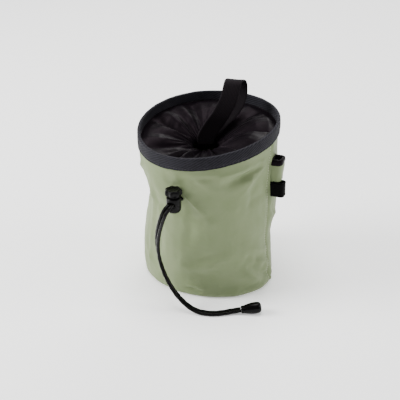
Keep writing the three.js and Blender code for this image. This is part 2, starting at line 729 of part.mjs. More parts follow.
// The spring button: a scalloped head on a stem, with a window that the strands keep passing
// through while the button is pressed down by its travel
function addLockButton() {
  const foot = buttonFoot;
  const r = buttonRadius;
  const h = buttonHeight;
  const head = turned([
    [0, foot],
    [0.86 * r, foot],
    [r, foot + 0.22 * h],
    [r, foot + 0.70 * h],
    [0.88 * r, foot + 0.93 * h],
    [0.70 * r, foot + h],
    [0.35 * r, foot + 0.86 * h],
    [0, foot + 0.84 * h],
  ], lockAxis, buttonLobes * 4, buttonLobes, buttonScallop);
  const lowest = -stemFloor + buttonTravel + gap;
  const stem = turned([
    [0, lowest],
    [stemRadius, lowest],
    [stemRadius, foot + 0.5 * h],
    [0, foot + 0.5 * h],
  ], lockAxis, barrelSteps);
  const low = -lockHole.height / 2;
  const high = lockHole.height / 2 + buttonTravel;
  const outline = [[-1, low], [1, low], [1, high], [-1, high]]
    .map(([side, up]) => new THREE.Vector2((side * lockHole.width) / 2, up));
  const opening = prism(outline, -2 * stemRadius, 2 * stemRadius, lockAxis);
  const made = solid(head).add(solid(stem)).subtract(solid(opening));
  addPiece("lock_button", geometryOf(made), materials.plastic);
}

// One strand of the draw cord, half a spacing to the left or right of the route
function addStrand(name, side) {
  const middle = new THREE.CatmullRomCurve3(cordRoute.map((p) => new THREE.Vector3(p.x, p.y, p.z)));
  const last = cordRoute.length - 1;
  const points = cordRoute.map((p, i) => {
    const along = middle.getTangent(i / last);
    const pair = polar(1, p.pair, 0);
    pair.addScaledVector(along, -pair.dot(along)).normalize();
    return new THREE.Vector3(p.x, p.y, p.z).addScaledVector(pair, (side * cordSpacing) / 2);
  });
  const section = new THREE.Shape(around(8, (angle) => {
    const a = radians(angle + 22.5);
    return new THREE.Vector2(Math.cos(a), Math.sin(a)).multiplyScalar(cordDiameter / 2);
  }));
  const path = new THREE.CatmullRomCurve3(points);
  const tube = new THREE.ExtrudeGeometry(section, { steps: cordSteps, extrudePath: path });
  addPiece(name, tube, materials.cord);
}

// The bell-shaped end lies on its side, tipped so that its neck and its belly both touch the floor
function addCordEnd() {
  const widest = endRows.reduce((a, b) => (b.radius > a.radius ? b : a));
  const drop = (widest.radius - endRows[0].radius) * endRadius;
  const tilt = Math.atan2(drop, widest.along * endLength);
  const lift = Math.max(...endRows.map((row) => (
    row.radius * endRadius * Math.cos(tilt) - row.along * endLength * Math.sin(tilt))));
  const frame = new THREE.Matrix4().makeRotationAxis(new THREE.Vector3(0, 1, 0), Math.PI / 2 - tilt);
  frame.setPosition(endPlace.x, endPlace.y, lift);
  const rings = endRows.map((row) => around(16, (angle) => {
    const a = radians(angle);
    const r = row.radius * endRadius;
    return new THREE.Vector3(r * Math.cos(a), r * Math.sin(a), row.along * endLength).applyMatrix4(frame);
  }));
  addPiece("cord_end", skin(rings), materials.plastic);
}

addTub();
addEyelet();
addBand();
addCollar();
addPullLoop();
addBrushHolder();
addBeltLoop();
addLockBarrel();
addLockButton();
addStrand("cord_left", -1);
addStrand("cord_right", 1);
addCordEnd();

export default bag;
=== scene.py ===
# %% [markdown]
# A climbing chalk bag, dressed in Blender
#
# The CAD model fixes where each piece sits and how large it is. This script keeps that frame and
# makes the cloth, the webbing, the cord and the plastic look like what they are. It is read from
# top to bottom, one small step in each cell.

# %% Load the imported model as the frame
import math

import bmesh
import bpy
import numpy as np
from mathutils import Matrix, Vector, noise
from mathutils.bvhtree import BVHTree


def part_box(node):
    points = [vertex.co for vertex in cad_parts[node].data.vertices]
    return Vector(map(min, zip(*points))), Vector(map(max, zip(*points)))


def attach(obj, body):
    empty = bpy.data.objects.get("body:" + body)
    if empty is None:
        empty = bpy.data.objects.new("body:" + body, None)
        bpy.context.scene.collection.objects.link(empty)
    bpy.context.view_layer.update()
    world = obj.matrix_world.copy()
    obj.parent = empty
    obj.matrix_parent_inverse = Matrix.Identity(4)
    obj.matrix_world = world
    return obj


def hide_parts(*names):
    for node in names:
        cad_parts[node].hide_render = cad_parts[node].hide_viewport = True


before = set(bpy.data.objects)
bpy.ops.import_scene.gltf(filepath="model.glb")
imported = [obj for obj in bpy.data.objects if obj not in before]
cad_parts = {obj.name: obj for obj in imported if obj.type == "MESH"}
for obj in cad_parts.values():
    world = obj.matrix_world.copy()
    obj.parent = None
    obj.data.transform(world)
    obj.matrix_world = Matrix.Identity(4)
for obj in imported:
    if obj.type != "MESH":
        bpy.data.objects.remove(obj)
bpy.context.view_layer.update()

MM = 0.001
BAG = "bag"
BUTTON = "button"

# %% [markdown]
# The camera stands where the photographer stood: straight in front of the bag and 28 degrees above
# it, far enough away that the near rim is hardly larger than the far one. A long lens gives that
# flat look. It comes first, so that each later piece can be judged in the photograph's frame.

# %% Place the camera
CAMERA_TARGET = Vector((-7.1, 0.0, 65.9)) * MM
CAMERA_DISTANCE = 900 * MM
CAMERA_ELEVATION = math.radians(28.0)
LENS_PIXELS = 1033
IMAGE_PIXELS = 400
SENSOR_WIDTH = 36.0

camera_data = bpy.data.cameras.new("camera")
camera_data.sensor_width = SENSOR_WIDTH
camera_data.lens = LENS_PIXELS / IMAGE_PIXELS * SENSOR_WIDTH
camera = bpy.data.objects.new("camera", camera_data)
back = Vector((0, -math.cos(CAMERA_ELEVATION), math.sin(CAMERA_ELEVATION)))
camera.location = CAMERA_TARGET + CAMERA_DISTANCE * back
camera.rotation_euler = (math.pi / 2 - CAMERA_ELEVATION, 0, 0)
bpy.context.scene.collection.objects.link(camera)
bpy.context.scene.camera = camera
print("camera at mm:", [round(x / MM) for x in camera.location])

# %% [markdown]
# Every material below is a small tree of nodes. One helper adds a node, sets what it is given and
# links the sockets it is handed, so that a recipe reads as a list of steps. Another turns a colour,
# written as sRGB hex, into the linear light that the shader works in.

# %% Helpers for node trees and colours
def add(tree, kind, inputs=None, **settings):
    node = tree.nodes.new(kind)
    for name, value in settings.items():
        setattr(node, name, value)
    for key, value in (inputs or {}).items():
        if isinstance(value, bpy.types.NodeSocket):
            tree.links.new(value, node.inputs[key])
        else:
            node.inputs[key].default_value = value
    return node


def linear(hex_colour):
    parts = [int(hex_colour[i:i + 2], 16) / 255 for i in (1, 3, 5)]
    return [p / 12.92 if p <= 0.04045 else ((p + 0.055) / 1.055) ** 2.4 for p in parts] + [1.0]


# %% [markdown]
# Cloth needs a pattern that follows its threads, so each cloth piece carries a UV map named cloth,
# measured in millimetres along its warp and its weft. A thread spacing is then written as it would
# be measured with a ruler. Two sine waves across each other make a plain weave, and their sum along
# the diagonal makes a twill.

# %% Helpers for patterns that follow the cloth
def threads(tree, spacing, turn=0.0):
    """Ridges across the cloth with that spacing in millimetres, from 0 in a groove to 1 on top."""
    uv = add(tree, "ShaderNodeUVMap", uv_map="cloth")
    turned = add(tree, "ShaderNodeVectorRotate", {0: uv.outputs[0], "Angle": turn}, rotation_type="Z_AXIS")
    along = add(tree, "ShaderNodeSeparateXYZ", {0: turned.outputs[0]})
    phase = add(tree, "ShaderNodeMath", {0: along.outputs[0], 1: math.tau / spacing}, operation="MULTIPLY")
    wave = add(tree, "ShaderNodeMath", {0: phase.outputs[0]}, operation="SINE")
    ridge = add(tree, "ShaderNodeMath", {0: wave.outputs[0], 1: 0.5, 2: 0.5}, operation="MULTIPLY_ADD")
    return ridge.outputs[0]


def mixed(tree, first, second, operation="MULTIPLY"):
    return add(tree, "ShaderNodeMath", {0: first, 1: second}, operation=operation).outputs[0]


def plain_weave(tree, spacing):
    return mixed(tree, threads(tree, spacing), threads(tree, spacing, math.pi / 2))


def mottle(tree, size, low=0.0, high=1.0, detail=3.0):
    """Soft noise with patches of that size in millimetres, between two values."""
    place = add(tree, "ShaderNodeTexCoord")
    spots = add(tree, "ShaderNodeTexNoise", {
        "Vector": place.outputs["Object"], "Scale": 1 / (size * MM), "Detail": detail, "Roughness": 0.55,
    })
    spread = add(tree, "ShaderNodeMapRange", {
        "Value": spots.outputs["Fac"], "From Min": 0.3, "From Max": 0.7, "To Min": low, "To Max": high,
    })
    return spread.outputs[0]


def blend_colours(tree, factor, dark, light):
    mix = add(tree, "ShaderNodeMix", data_type="RGBA")
    mix.inputs[6].default_value = linear(dark)
    mix.inputs[7].default_value = linear(light)
    tree.links.new(factor, mix.inputs[0])
    return mix.outputs[2]


def bump(tree, height, depth, below=None):
    """A bump of that depth in millimetres, on top of another one where there is one."""
    node = add(tree, "ShaderNodeBump", {"Height": height, "Strength": 1.0, "Distance": depth * MM})
    if below is not None:
        tree.links.new(below, node.inputs["Normal"])
    return node.outputs[0]


def surface_of(name, **fixed):
    """A new material with its tree and its shader, and the values that are the same all over."""
    material = bpy.data.materials.new(name)
    material.use_nodes = True
    shader = material.node_tree.nodes["Principled BSDF"]
    for socket, value in fixed.items():
        shader.inputs[socket.replace("_", " ")].default_value = value
    return material, material.node_tree, shader


# %% [markdown]
# The body is nylon pack cloth, about 400 denier, with a thin coating on the back. Its yarns lie
# 0.45 mm apart, too fine to show here, so they are drawn twice as far apart. The coating makes the
# cloth a little stiff, so it creases in clean lines, and the nylon keeps a low, wide sheen.

# %% Coated nylon, sage
NYLON_YARNS = 0.9
NYLON_YARN_RELIEF = 0.035
NYLON_CRUMPLE = 9.0
NYLON_CRUMPLE_RELIEF = 0.22
NYLON_PATCHES = 26.0


def coated_nylon(name, dark, light):
    material, tree, shader = surface_of(name, Roughness=0.6, IOR=1.53, Sheen_Weight=0.06,
                                        Sheen_Roughness=0.5, Specular_IOR_Level=0.22)
    colour = blend_colours(tree, mottle(tree, NYLON_PATCHES), dark, light)
    crumple = bump(tree, mottle(tree, NYLON_CRUMPLE, detail=4.0), NYLON_CRUMPLE_RELIEF)
    woven = bump(tree, plain_weave(tree, NYLON_YARNS), NYLON_YARN_RELIEF, crumple)
    tree.links.new(colour, shader.inputs["Base Color"])
    tree.links.new(woven, shader.inputs["Normal"])
    return material


sage_nylon = coated_nylon("coated_nylon_sage", "#6e7b56", "#75815e")
print("made", sage_nylon.name)

# %% [markdown]
# The rim is bound in a heavy cotton-like twill. Its yarns step over by one in every row, which gives
# the slanting lines that tell a twill from a plain weave. They are drawn 1.9 mm apart, as coarse as
# they need to be to show, and rise at 28 degrees to the length of the band.

# %% Charcoal twill
TWILL_LINES = 1.9
TWILL_TURN = math.radians(90 - 28)
TWILL_YARNS = 0.8
TWILL_RELIEF = 0.22
TWILL_PATCHES = 7.0


def twill(name, dark, light):
    material, tree, shader = surface_of(name, Roughness=0.85, Sheen_Weight=0.05,
                                        Sheen_Roughness=0.4, Specular_IOR_Level=0.15)
    lines = threads(tree, TWILL_LINES, TWILL_TURN)
    yarns = mixed(tree, lines, mixed(tree, threads(tree, TWILL_YARNS), 0.3), "ADD")
    worn = mixed(tree, mixed(tree, yarns, 0.65), mottle(tree, TWILL_PATCHES, high=0.3), "ADD")
    tree.links.new(blend_colours(tree, worn, dark, light), shader.inputs["Base Color"])
    tree.links.new(bump(tree, yarns, TWILL_RELIEF), shader.inputs["Normal"])
    return material


charcoal_twill = twill("twill_charcoal", "#09080b", "#232229")
print("made", charcoal_twill.name)

# %% [markdown]
# The collar is a thin, downproof nylon taffeta. It is so dense that it shines along each fold, which
# is what draws the gathers in the photograph. Its yarns are far too fine to show and are drawn
# 0.8 mm apart. The shine of the black dye is a little purple, so the highlights are tinted.

# %% Black taffeta
TAFFETA_YARNS = 0.8
TAFFETA_YARN_RELIEF = 0.03
TAFFETA_CRINKLE = 6.0
TAFFETA_CRINKLE_RELIEF = 0.03
TAFFETA_PATCHES = 12.0


def taffeta(name, dark, light, shine):
    material, tree, shader = surface_of(name, Roughness=0.42, IOR=1.53, Specular_IOR_Level=0.058,
                                        Specular_Tint=linear(shine))
    colour = blend_colours(tree, mottle(tree, TAFFETA_PATCHES), dark, light)
    crinkle = bump(tree, mottle(tree, TAFFETA_CRINKLE, detail=2.0), TAFFETA_CRINKLE_RELIEF)
    woven = bump(tree, plain_weave(tree, TAFFETA_YARNS), TAFFETA_YARN_RELIEF, crinkle)
    tree.links.new(colour, shader.inputs["Base Color"])
    tree.links.new(woven, shader.inputs["Normal"])
    return material


black_taffeta = taffeta("taffeta_black", "#080608", "#0c090c", "#d8b9cc")
print("made", black_taffeta.name)

# %% [markdown]
# Webbing is woven flat on a narrow loom. Its warp yarns run the whole length in raised ribs, with the
# weft hidden under them, and it is dull on its face and hard at its edges. Elastic is knitted, with
# ribs about as wide. For each, the spacing of its ribs, that of its weft and the depth of its relief
# are given in millimetres.

# %% Webbing and elastic
def ribbed(name, rib, weft, depth, dark, light, roughness):
    material, tree, shader = surface_of(name, Roughness=roughness, Sheen_Weight=0.02,
                                        Sheen_Roughness=0.4, Specular_IOR_Level=0.06)
    ribs = threads(tree, rib)
    cross = threads(tree, weft, math.pi / 2)
    yarns = mixed(tree, mixed(tree, ribs, 0.7), mixed(tree, cross, 0.3), "ADD")
    tree.links.new(blend_colours(tree, yarns, dark, light), shader.inputs["Base Color"])
    tree.links.new(bump(tree, yarns, depth), shader.inputs["Normal"])
    return material


loop_webbing = ribbed("polyester_webbing", 1.2, 0.9, 0.12, "#0c090b", "#1e191d", 0.7)
knitted_elastic = ribbed("knitted_elastic", 1.0, 1.4, 0.1, "#020202", "#060506", 0.8)
print("made", loop_webbing.name, knitted_elastic.name)

# %% [markdown]
# The cord is a braided polyester sheath: sixteen yarns, half of them turning each way. The crossings
# are modelled in the mesh, so the material only adds the lines of the fibres and the soft shine of
# polyester. The fibres are finer than a hair, and their lines are drawn 0.35 mm apart.

# %% Braided sheath and sewing thread
FIBRE_LINES = 0.35
FIBRE_SLANT = math.radians(35)
FIBRE_RELIEF = 0.02
BRAID_PATCHES = 2.5
THREAD_PATCHES = 1.5


def braid(name, dark, light):
    material, tree, shader = surface_of(name, Roughness=0.25, IOR=1.55, Specular_IOR_Level=0.09)
    fibres = mixed(tree, threads(tree, FIBRE_LINES, FIBRE_SLANT), threads(tree, FIBRE_LINES, -FIBRE_SLANT))
    colour = blend_colours(tree, mottle(tree, BRAID_PATCHES), dark, light)
    tree.links.new(colour, shader.inputs["Base Color"])
    tree.links.new(bump(tree, fibres, FIBRE_RELIEF), shader.inputs["Normal"])
    return material


def thread(name, dark, light):
    material, tree, shader = surface_of(name, Roughness=0.7)
    colour = blend_colours(tree, mottle(tree, THREAD_PATCHES), dark, light)
    tree.links.new(colour, shader.inputs["Base Color"])
    return material


black_braid = braid("polyester_braid", "#040303", "#0b0a09")
sage_thread = thread("thread_sage", "#a2a98f", "#b6bba4")
charcoal_thread = thread("thread_charcoal", "#1b1a1f", "#2c2b31")
print("made", black_braid.name, sage_thread.name, charcoal_thread.name)

# %% [markdown]
# The cord lock is injection-moulded acetal with a spark-eroded, silky mould surface. The cord end is
# a softer, glossy moulding. Neither is ever a perfect mirror: a very fine noise in the roughness and
# the bump keeps the highlights from looking like glass.

# %% Moulded plastics
PLASTIC_PATCHES = 4.0
WEAR_PATCHES = 3.0
MOULD_GRAIN = 0.5


def moulded(name, dark, light, roughness, grain):
    material, tree, shader = surface_of(name, IOR=1.48, Specular_IOR_Level=0.09)
    colour = blend_colours(tree, mottle(tree, PLASTIC_PATCHES), dark, light)
    worn = mottle(tree, WEAR_PATCHES, roughness * 0.8, roughness * 1.25)
    tree.links.new(colour, shader.inputs["Base Color"])
    tree.links.new(worn, shader.inputs["Roughness"])
    tree.links.new(bump(tree, mottle(tree, MOULD_GRAIN), grain), shader.inputs["Normal"])
    return material


satin_acetal = moulded("moulded_acetal", "#040404", "#080708", 0.3, 0.012)
glossy_moulding = moulded("moulded_glossy", "#040304", "#080708", 0.16, 0.006)
print("made", satin_acetal.name, glossy_moulding.name)

# %% [markdown]
# Most pieces here are a surface that is known row by row: rings up the wall, rings along the collar,
# sections along a strap. One function turns such rows into a smooth mesh, with the cloth's UV map, and
# closes it where it should be closed.

# %% Helper that skins rows of points
def skin(name, rows, material, uv=None, pole=None, caps=False, body=BAG):
    """A mesh through round rows of points in millimetres; a pole closes its start, caps both ends."""
    rows = np.asarray(rows, float)
    count, across = rows.shape[:2]
    points = rows.reshape(-1, 3).tolist()
    faces = []
    for r in range(count - 1):
        for i in range(across):
            j = (i + 1) % across
            faces.append((r * across + i, r * across + j, (r + 1) * across + j, (r + 1) * across + i))
    quads = len(faces)
    if pole is not None:
        points.append(list(pole))
        faces += [(len(points) - 1, (i + 1) % across, i) for i in range(across)]
    if caps:
        faces.append(tuple(reversed(range(across))))
        faces.append(tuple(range((count - 1) * across, count * across)))
    mesh = bpy.data.meshes.new(name)
    mesh.from_pydata((np.array(points) * MM).tolist(), [], faces)
    if uv is not None:
        uv = np.asarray(uv, float)
        r, i = np.divmod(np.arange(quads), across)
        corners = np.stack([uv[r, i], uv[r, i + 1], uv[r + 1, i + 1], uv[r + 1, i]], 1)
        flat = np.zeros((len(mesh.loops), 2))
        flat[:quads * 4] = corners.reshape(-1, 2)
        mesh.uv_layers.new(name="cloth").data.foreach_set("uv", flat.ravel())
    if caps:
        turn_outwards(mesh)
    mesh.polygons.foreach_set("use_smooth", [True] * len(mesh.polygons))
    return finished(name, mesh, material, body)


def turn_outwards(mesh):
    made = bmesh.new()
    made.from_mesh(mesh)
    bmesh.ops.recalc_face_normals(made, faces=made.faces)
    made.to_mesh(mesh)
    made.free()


def finished(name, mesh, material, body=BAG):
    mesh.materials.clear()
    mesh.materials.append(material)
    piece = bpy.data.objects.new(name, mesh)
    bpy.context.scene.collection.objects.link(piece)
    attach(piece, body)
    return piece


# %% [markdown]
# The cord comes next. It is one draw cord whose two ends leave the bag through an eyelet, pass through
# the lock and hang down the front to the floor. Its route is the one of the CAD model: a list of places
# for the middle of the pair, and the direction from one strand to the other.

# %% The route of the draw cord
CORD_DIAMETER = 3.0
CORD_SPACING = 3.35
CORD_ROUTE = [
    # x, y, z in millimetres, and the azimuth from the left strand to the right one
    (-23.0, -47.2, 94.5, -26), (-26.1, -53.6, 94.5, -26), (-28.8, -59.2, 94.5, -26),
    (-31.4, -64.0, 94.4, -27), (-34.2, -67.4, 92.4, -32), (-36.6, -68.4, 88.0, -40),
    (-38.6, -66.8, 81.4, -47), (-40.4, -63.8, 73.4, -53), (-41.7, -60.8, 65.0, -60),
    (-42.2, -58.6, 56.4, -70), (-41.7, -57.9, 48.0, -80), (-40.5, -58.3, 40.2, -85),
    (-38.4, -60.1, 33.2, -86), (-35.8, -62.4, 27.0, -86), (-32.3, -65.2, 20.9, -86),
    (-28.0, -68.4, 15.0, -87), (-22.7, -71.5, 9.6, -88), (-16.5, -74.6, 5.0, -90),
    (-9.4, -77.6, 2.2, -90), (-2.0, -79.6, 1.6, -90), (5.6, -80.2, 1.6, -90),
    (13.0, -79.0, 1.7, -90), (20.2, -77.6, 2.3, -90), (27.0, -77.0, 3.2, -90),
]


def smooth_path(points, step):
    """Points at even steps on a Catmull-Rom curve through the given ones."""
    p = np.asarray(points, float)
    p = np.vstack([2 * p[0] - p[1], p, 2 * p[-1] - p[-2]])
    dense = []
    for i in range(1, len(p) - 2):
        for t in np.arange(0, 1, 0.05):
            a, b, c, d = p[i - 1:i + 3]
            dense.append(0.5 * (2 * b + (c - a) * t + (2 * a - 5 * b + 4 * c - d) * t * t
                                + (3 * b - a - 3 * c + d) * t ** 3))
    dense = np.array(dense + [p[-2]])
    travelled = np.r_[0, np.cumsum(np.linalg.norm(np.diff(dense[:, :3], axis=0), axis=1))]
    even = np.linspace(0, travelled[-1], max(2, round(travelled[-1] / step)) + 1)
    return np.stack([np.interp(even, travelled, dense[:, k]) for k in range(p.shape[1])], 1)


def tangents(points):
    along = np.gradient(points, axis=0)
    return along / np.linalg.norm(along, axis=1)[:, None]


def strand_path(side):
    """The path of one strand, with side -1 for the left one and 1 for the right one."""
    middle = smooth_path(CORD_ROUTE, 0.8)
    along = tangents(middle[:, :3])
    angle = np.radians(middle[:, 3])
    pair = np.stack([np.cos(angle), np.sin(angle), 0 * angle], 1)
    pair -= along * np.sum(pair * along, axis=1)[:, None]
    pair /= np.linalg.norm(pair, axis=1)[:, None]
    return smooth_path(middle[:, :3] + side * CORD_SPACING / 2 * pair, 0.4)


left_path = strand_path(-1)
right_path = strand_path(1)
print("strand points:", len(left_path), len(right_path))

# %% [markdown]
# Each strand is a tube swept along that route. Its section is not a circle: every yarn of the braid
# rises where it crosses over and dips where it goes under. The tube's frame is carried along without
# twisting, because a twist would wind the braid up.

# %% Braid the two strands
BRAID_YARNS = 8
BRAID_PITCH = 7.0
BRAID_RELIEF = 0.11
AROUND_CORD = 32


def carried_frames(path):
    """Two directions across the path at each of its points, carried along without a twist."""
    along = tangents(path)
    side = np.cross(along[0], (0, 0, 1.0))
    side /= np.linalg.norm(side)
    frames = []
    for t in along:
        side = side - t * np.dot(side, t)
        side /= np.linalg.norm(side)
        frames.append((side, np.cross(t, side)))
    return frames


def braided_tube(name, path, turn_phase):
    length = np.r_[0, np.cumsum(np.linalg.norm(np.diff(path, axis=0), axis=1))]
    angle = np.linspace(0, math.tau, AROUND_CORD, endpoint=False)
    rows = []
    for middle, (side, up), at in zip(path, carried_frames(path), length):
        lead = math.tau * at / BRAID_PITCH
        over = np.sin(BRAID_YARNS / 2 * angle + lead + turn_phase)
        under = np.sin(BRAID_YARNS / 2 * angle - lead)
        # Only the higher yarn of a crossing shows. Taking 0.7 off keeps the cord's own diameter.
        r = CORD_DIAMETER / 2 + BRAID_RELIEF * (np.maximum(over, under) - 0.7)
        rows.append(middle + np.outer(np.cos(angle) * r, side) + np.outer(np.sin(angle) * r, up))
    turned = np.linspace(0, math.pi * CORD_DIAMETER, AROUND_CORD + 1)
    uv = np.stack(np.meshgrid(turned, length), -1)
    return skin(name, rows, black_braid, uv, caps=True), length[-1]


left_cord, left_length = braided_tube("draw_cord_left", left_path, 0.0)
right_cord, right_length = braided_tube("draw_cord_right", right_path, 0.8)
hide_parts("cord_left")
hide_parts("cord_right")
print("strands in mm:", round(left_length, 1), round(right_length, 1))

# %% [markdown]
# The two strands end in one glossy moulding shaped like a small bell. It lies on its side, so its neck
# and its belly both touch the floor. It is turned from a short profile, and a small round eye is
# pressed into its neck, where the knot inside is pushed home.

# %% Turn the cord end
END_LENGTH = 17.0
END_RADIUS = 4.9
END_PLACE = (27.3, -77.0)
END_PROFILE = [
    # share of the length, share of the radius
    (0.00, 0.52), (0.00, 0.62), (0.03, 0.67), (0.14, 0.70), (0.32, 0.86), (0.58, 1.00),
    (0.82, 0.98), (0.93, 0.84), (0.985, 0.58), (1.00, 0.30), (1.00, 0.0),
]
NECK_SHARE = 0.66
EYE_AT = 0.19
EYE_OUT = 0.74
EYE_RADIUS = 1.15
EYE_BEAD = 0.28
EYE_AZIMUTH = math.radians(-118)


def end_frame():
    """The place of the moulding, tilted until its neck and its widest ring both touch the floor."""
    widest = max(END_PROFILE, key=lambda row: row[1])
    tilt = math.atan2((widest[1] - NECK_SHARE) * END_RADIUS, widest[0] * END_LENGTH)
    lift = max(r * END_RADIUS * math.cos(tilt) - a * END_LENGTH * math.sin(tilt) for a, r in END_PROFILE)
    turn = Matrix.Rotation(math.pi / 2 - tilt, 4, "Y")
    return Matrix.Translation((END_PLACE[0], END_PLACE[1], lift)) @ turn


def cord_end_piece():
    profile = smooth_path([(a * END_LENGTH, r * END_RADIUS, 0) for a, r in END_PROFILE], 0.35)
    place = end_frame()
    rows = []
    for at, radius, _ in profile:
        ring = []
        for angle in np.linspace(0, math.tau, 64, endpoint=False):
            r = max(radius, 0.02)
            ring.append(place @ Vector((r * math.cos(angle), r * math.sin(angle), at)))
        rows.append(ring)
    return skin("bell_end", rows, glossy_moulding, caps=True)


def ring_on(name, place, major, minor, material):
    """A thin ring with that major radius round the place's own z axis."""
    rows = []
    for turn in np.linspace(0, math.tau, 32, endpoint=False):
        middle = Vector((math.cos(turn), math.sin(turn), 0))
        ring = [place @ (middle * (major + minor * math.cos(a)) + Vector((0, 0, minor * math.sin(a))))
                for a in np.linspace(0, math.tau, 10, endpoint=False)]
        rows.append(ring)
    rows.append(rows[0])
    piece = skin(name, rows, material)
    merge_doubles(piece.data)


def merge_doubles(mesh):
    made = bmesh.new()
    made.from_mesh(mesh)
    bmesh.ops.remove_doubles(made, verts=made.verts, dist=1e-6)
    bmesh.ops.recalc_face_normals(made, faces=made.faces)
    made.to_mesh(mesh)
    made.free()


bell_end = cord_end_piece()
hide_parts("cord_end")
eye_turn = Matrix.Rotation(EYE_AZIMUTH, 4, "Z") @ Matrix.Rotation(math.pi / 2, 4, "Y")
eye_place = end_frame() @ Matrix.Translation((0, 0, EYE_AT * END_LENGTH)) @ eye_turn
eye_place = eye_place @ Matrix.Translation((0, 0, EYE_OUT * END_RADIUS))
ring_on("bell_end_eye", eye_place, EYE_RADIUS, EYE_BEAD, glossy_moulding)
print("cord end at mm:", [round(x) for x in end_frame().translation])

# %% [markdown]
# The body is a tub of cloth that stands by itself. Its large shape is already right in the CAD model,
# only faceted. Rays cast at the CAD wall from all round give its radius on a fine grid, from the
# curve at its foot to a little way up behind the rim band. A hit far from the usual radius of its
# column is a stray one, and its neighbours stand in for it. A blur over a few degrees takes the facets
# away. The creases are added to that radius afterwards.

# %% Read the wall of the bag from the CAD model
RIM_RADIUS = 60.0
RIM_HEIGHT = 140.0
RIM_RISE_RIGHT = 6.0
RIM_RISE_BACK = 4.5
RIM_SADDLE = -1.5
BAND_HEIGHT = 11.0
BAND_THICKNESS = 2.4
WALL_COLUMNS = 288
WALL_ROWS = 128
CORNER = 4.0
TUCK = 2.0
BAND_CLEARANCE = 0.3
STRAY_HIT = 9.0


def rim_height(azimuth):
    """Height of the rim's top edge at azimuths in radians."""
    tilt = RIM_RISE_RIGHT * np.cos(azimuth) + RIM_RISE_BACK * np.sin(azimuth)
    return RIM_HEIGHT + tilt + RIM_SADDLE * np.sin(2 * azimuth)


def tree_of(node):
    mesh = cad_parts[node].data
    return BVHTree.FromPolygons([v.co / MM for v in mesh.vertices], [p.vertices for p in mesh.polygons])


def blurred(grid, columns, rows):
    """The grid averaged over some columns, round the bag, and over some rows, up the wall."""
    for axis, reach, mode in ((1, columns, "wrap"), (0, rows, "edge")):
        weights = np.exp(-np.linspace(-2, 2, 2 * reach + 1) ** 2)
        pad = [(0, 0), (0, 0)]
        pad[axis] = (reach, reach)
        padded = np.pad(grid, pad, mode=mode)
        size = grid.shape[axis]
        parts = [w * np.take(padded, range(k, k + size), axis=axis) for k, w in enumerate(weights)]
        grid = sum(parts) / weights.sum()
    return grid


azimuths = np.linspace(0, math.tau, WALL_COLUMNS, endpoint=False)
wall_tops = rim_height(azimuths) - BAND_HEIGHT - BAND_CLEARANCE
shares = np.linspace(0, 1, WALL_ROWS)
wall_z = CORNER + shares[:, None] * (wall_tops + TUCK - CORNER)[None, :]
body_tree = tree_of("bag_body")


def cad_radius(azimuth, z):
    out = Vector((math.cos(azimuth), math.sin(azimuth), 0))
    hit = body_tree.ray_cast(out * 2 * RIM_RADIUS + Vector((0, 0, z)), -out)[0]
    return hit.xy.length if hit else math.nan


radii = np.array([[cad_radius(a, min(z, top - 0.05)) for a, z, top in zip(azimuths, row, wall_tops)]
                  for row in wall_z])
typical = np.nanmedian(radii, axis=0)
radii[np.abs(radii - typical) > STRAY_HIT] = math.nan
for row in radii:
    known = ~np.isnan(row)
    row[~known] = np.interp(azimuths[~known], azimuths[known], row[known], period=math.tau)
radii = blurred(radii, 3, 2)
print("wall radius in mm:", round(radii.min(), 1), "to", round(radii.max(), 1))

# %% [markdown]
# Creases come in two sorts. Where the cloth is pulled, as from the lock down to the front, it lifts in
# a narrow ridge with a sharp crest. Where it sags, it makes wide soft hollows. Each row of the table is
# one of them, along a line on the wall, and a power near 1 gives the sharp crest and 2 the soft one.

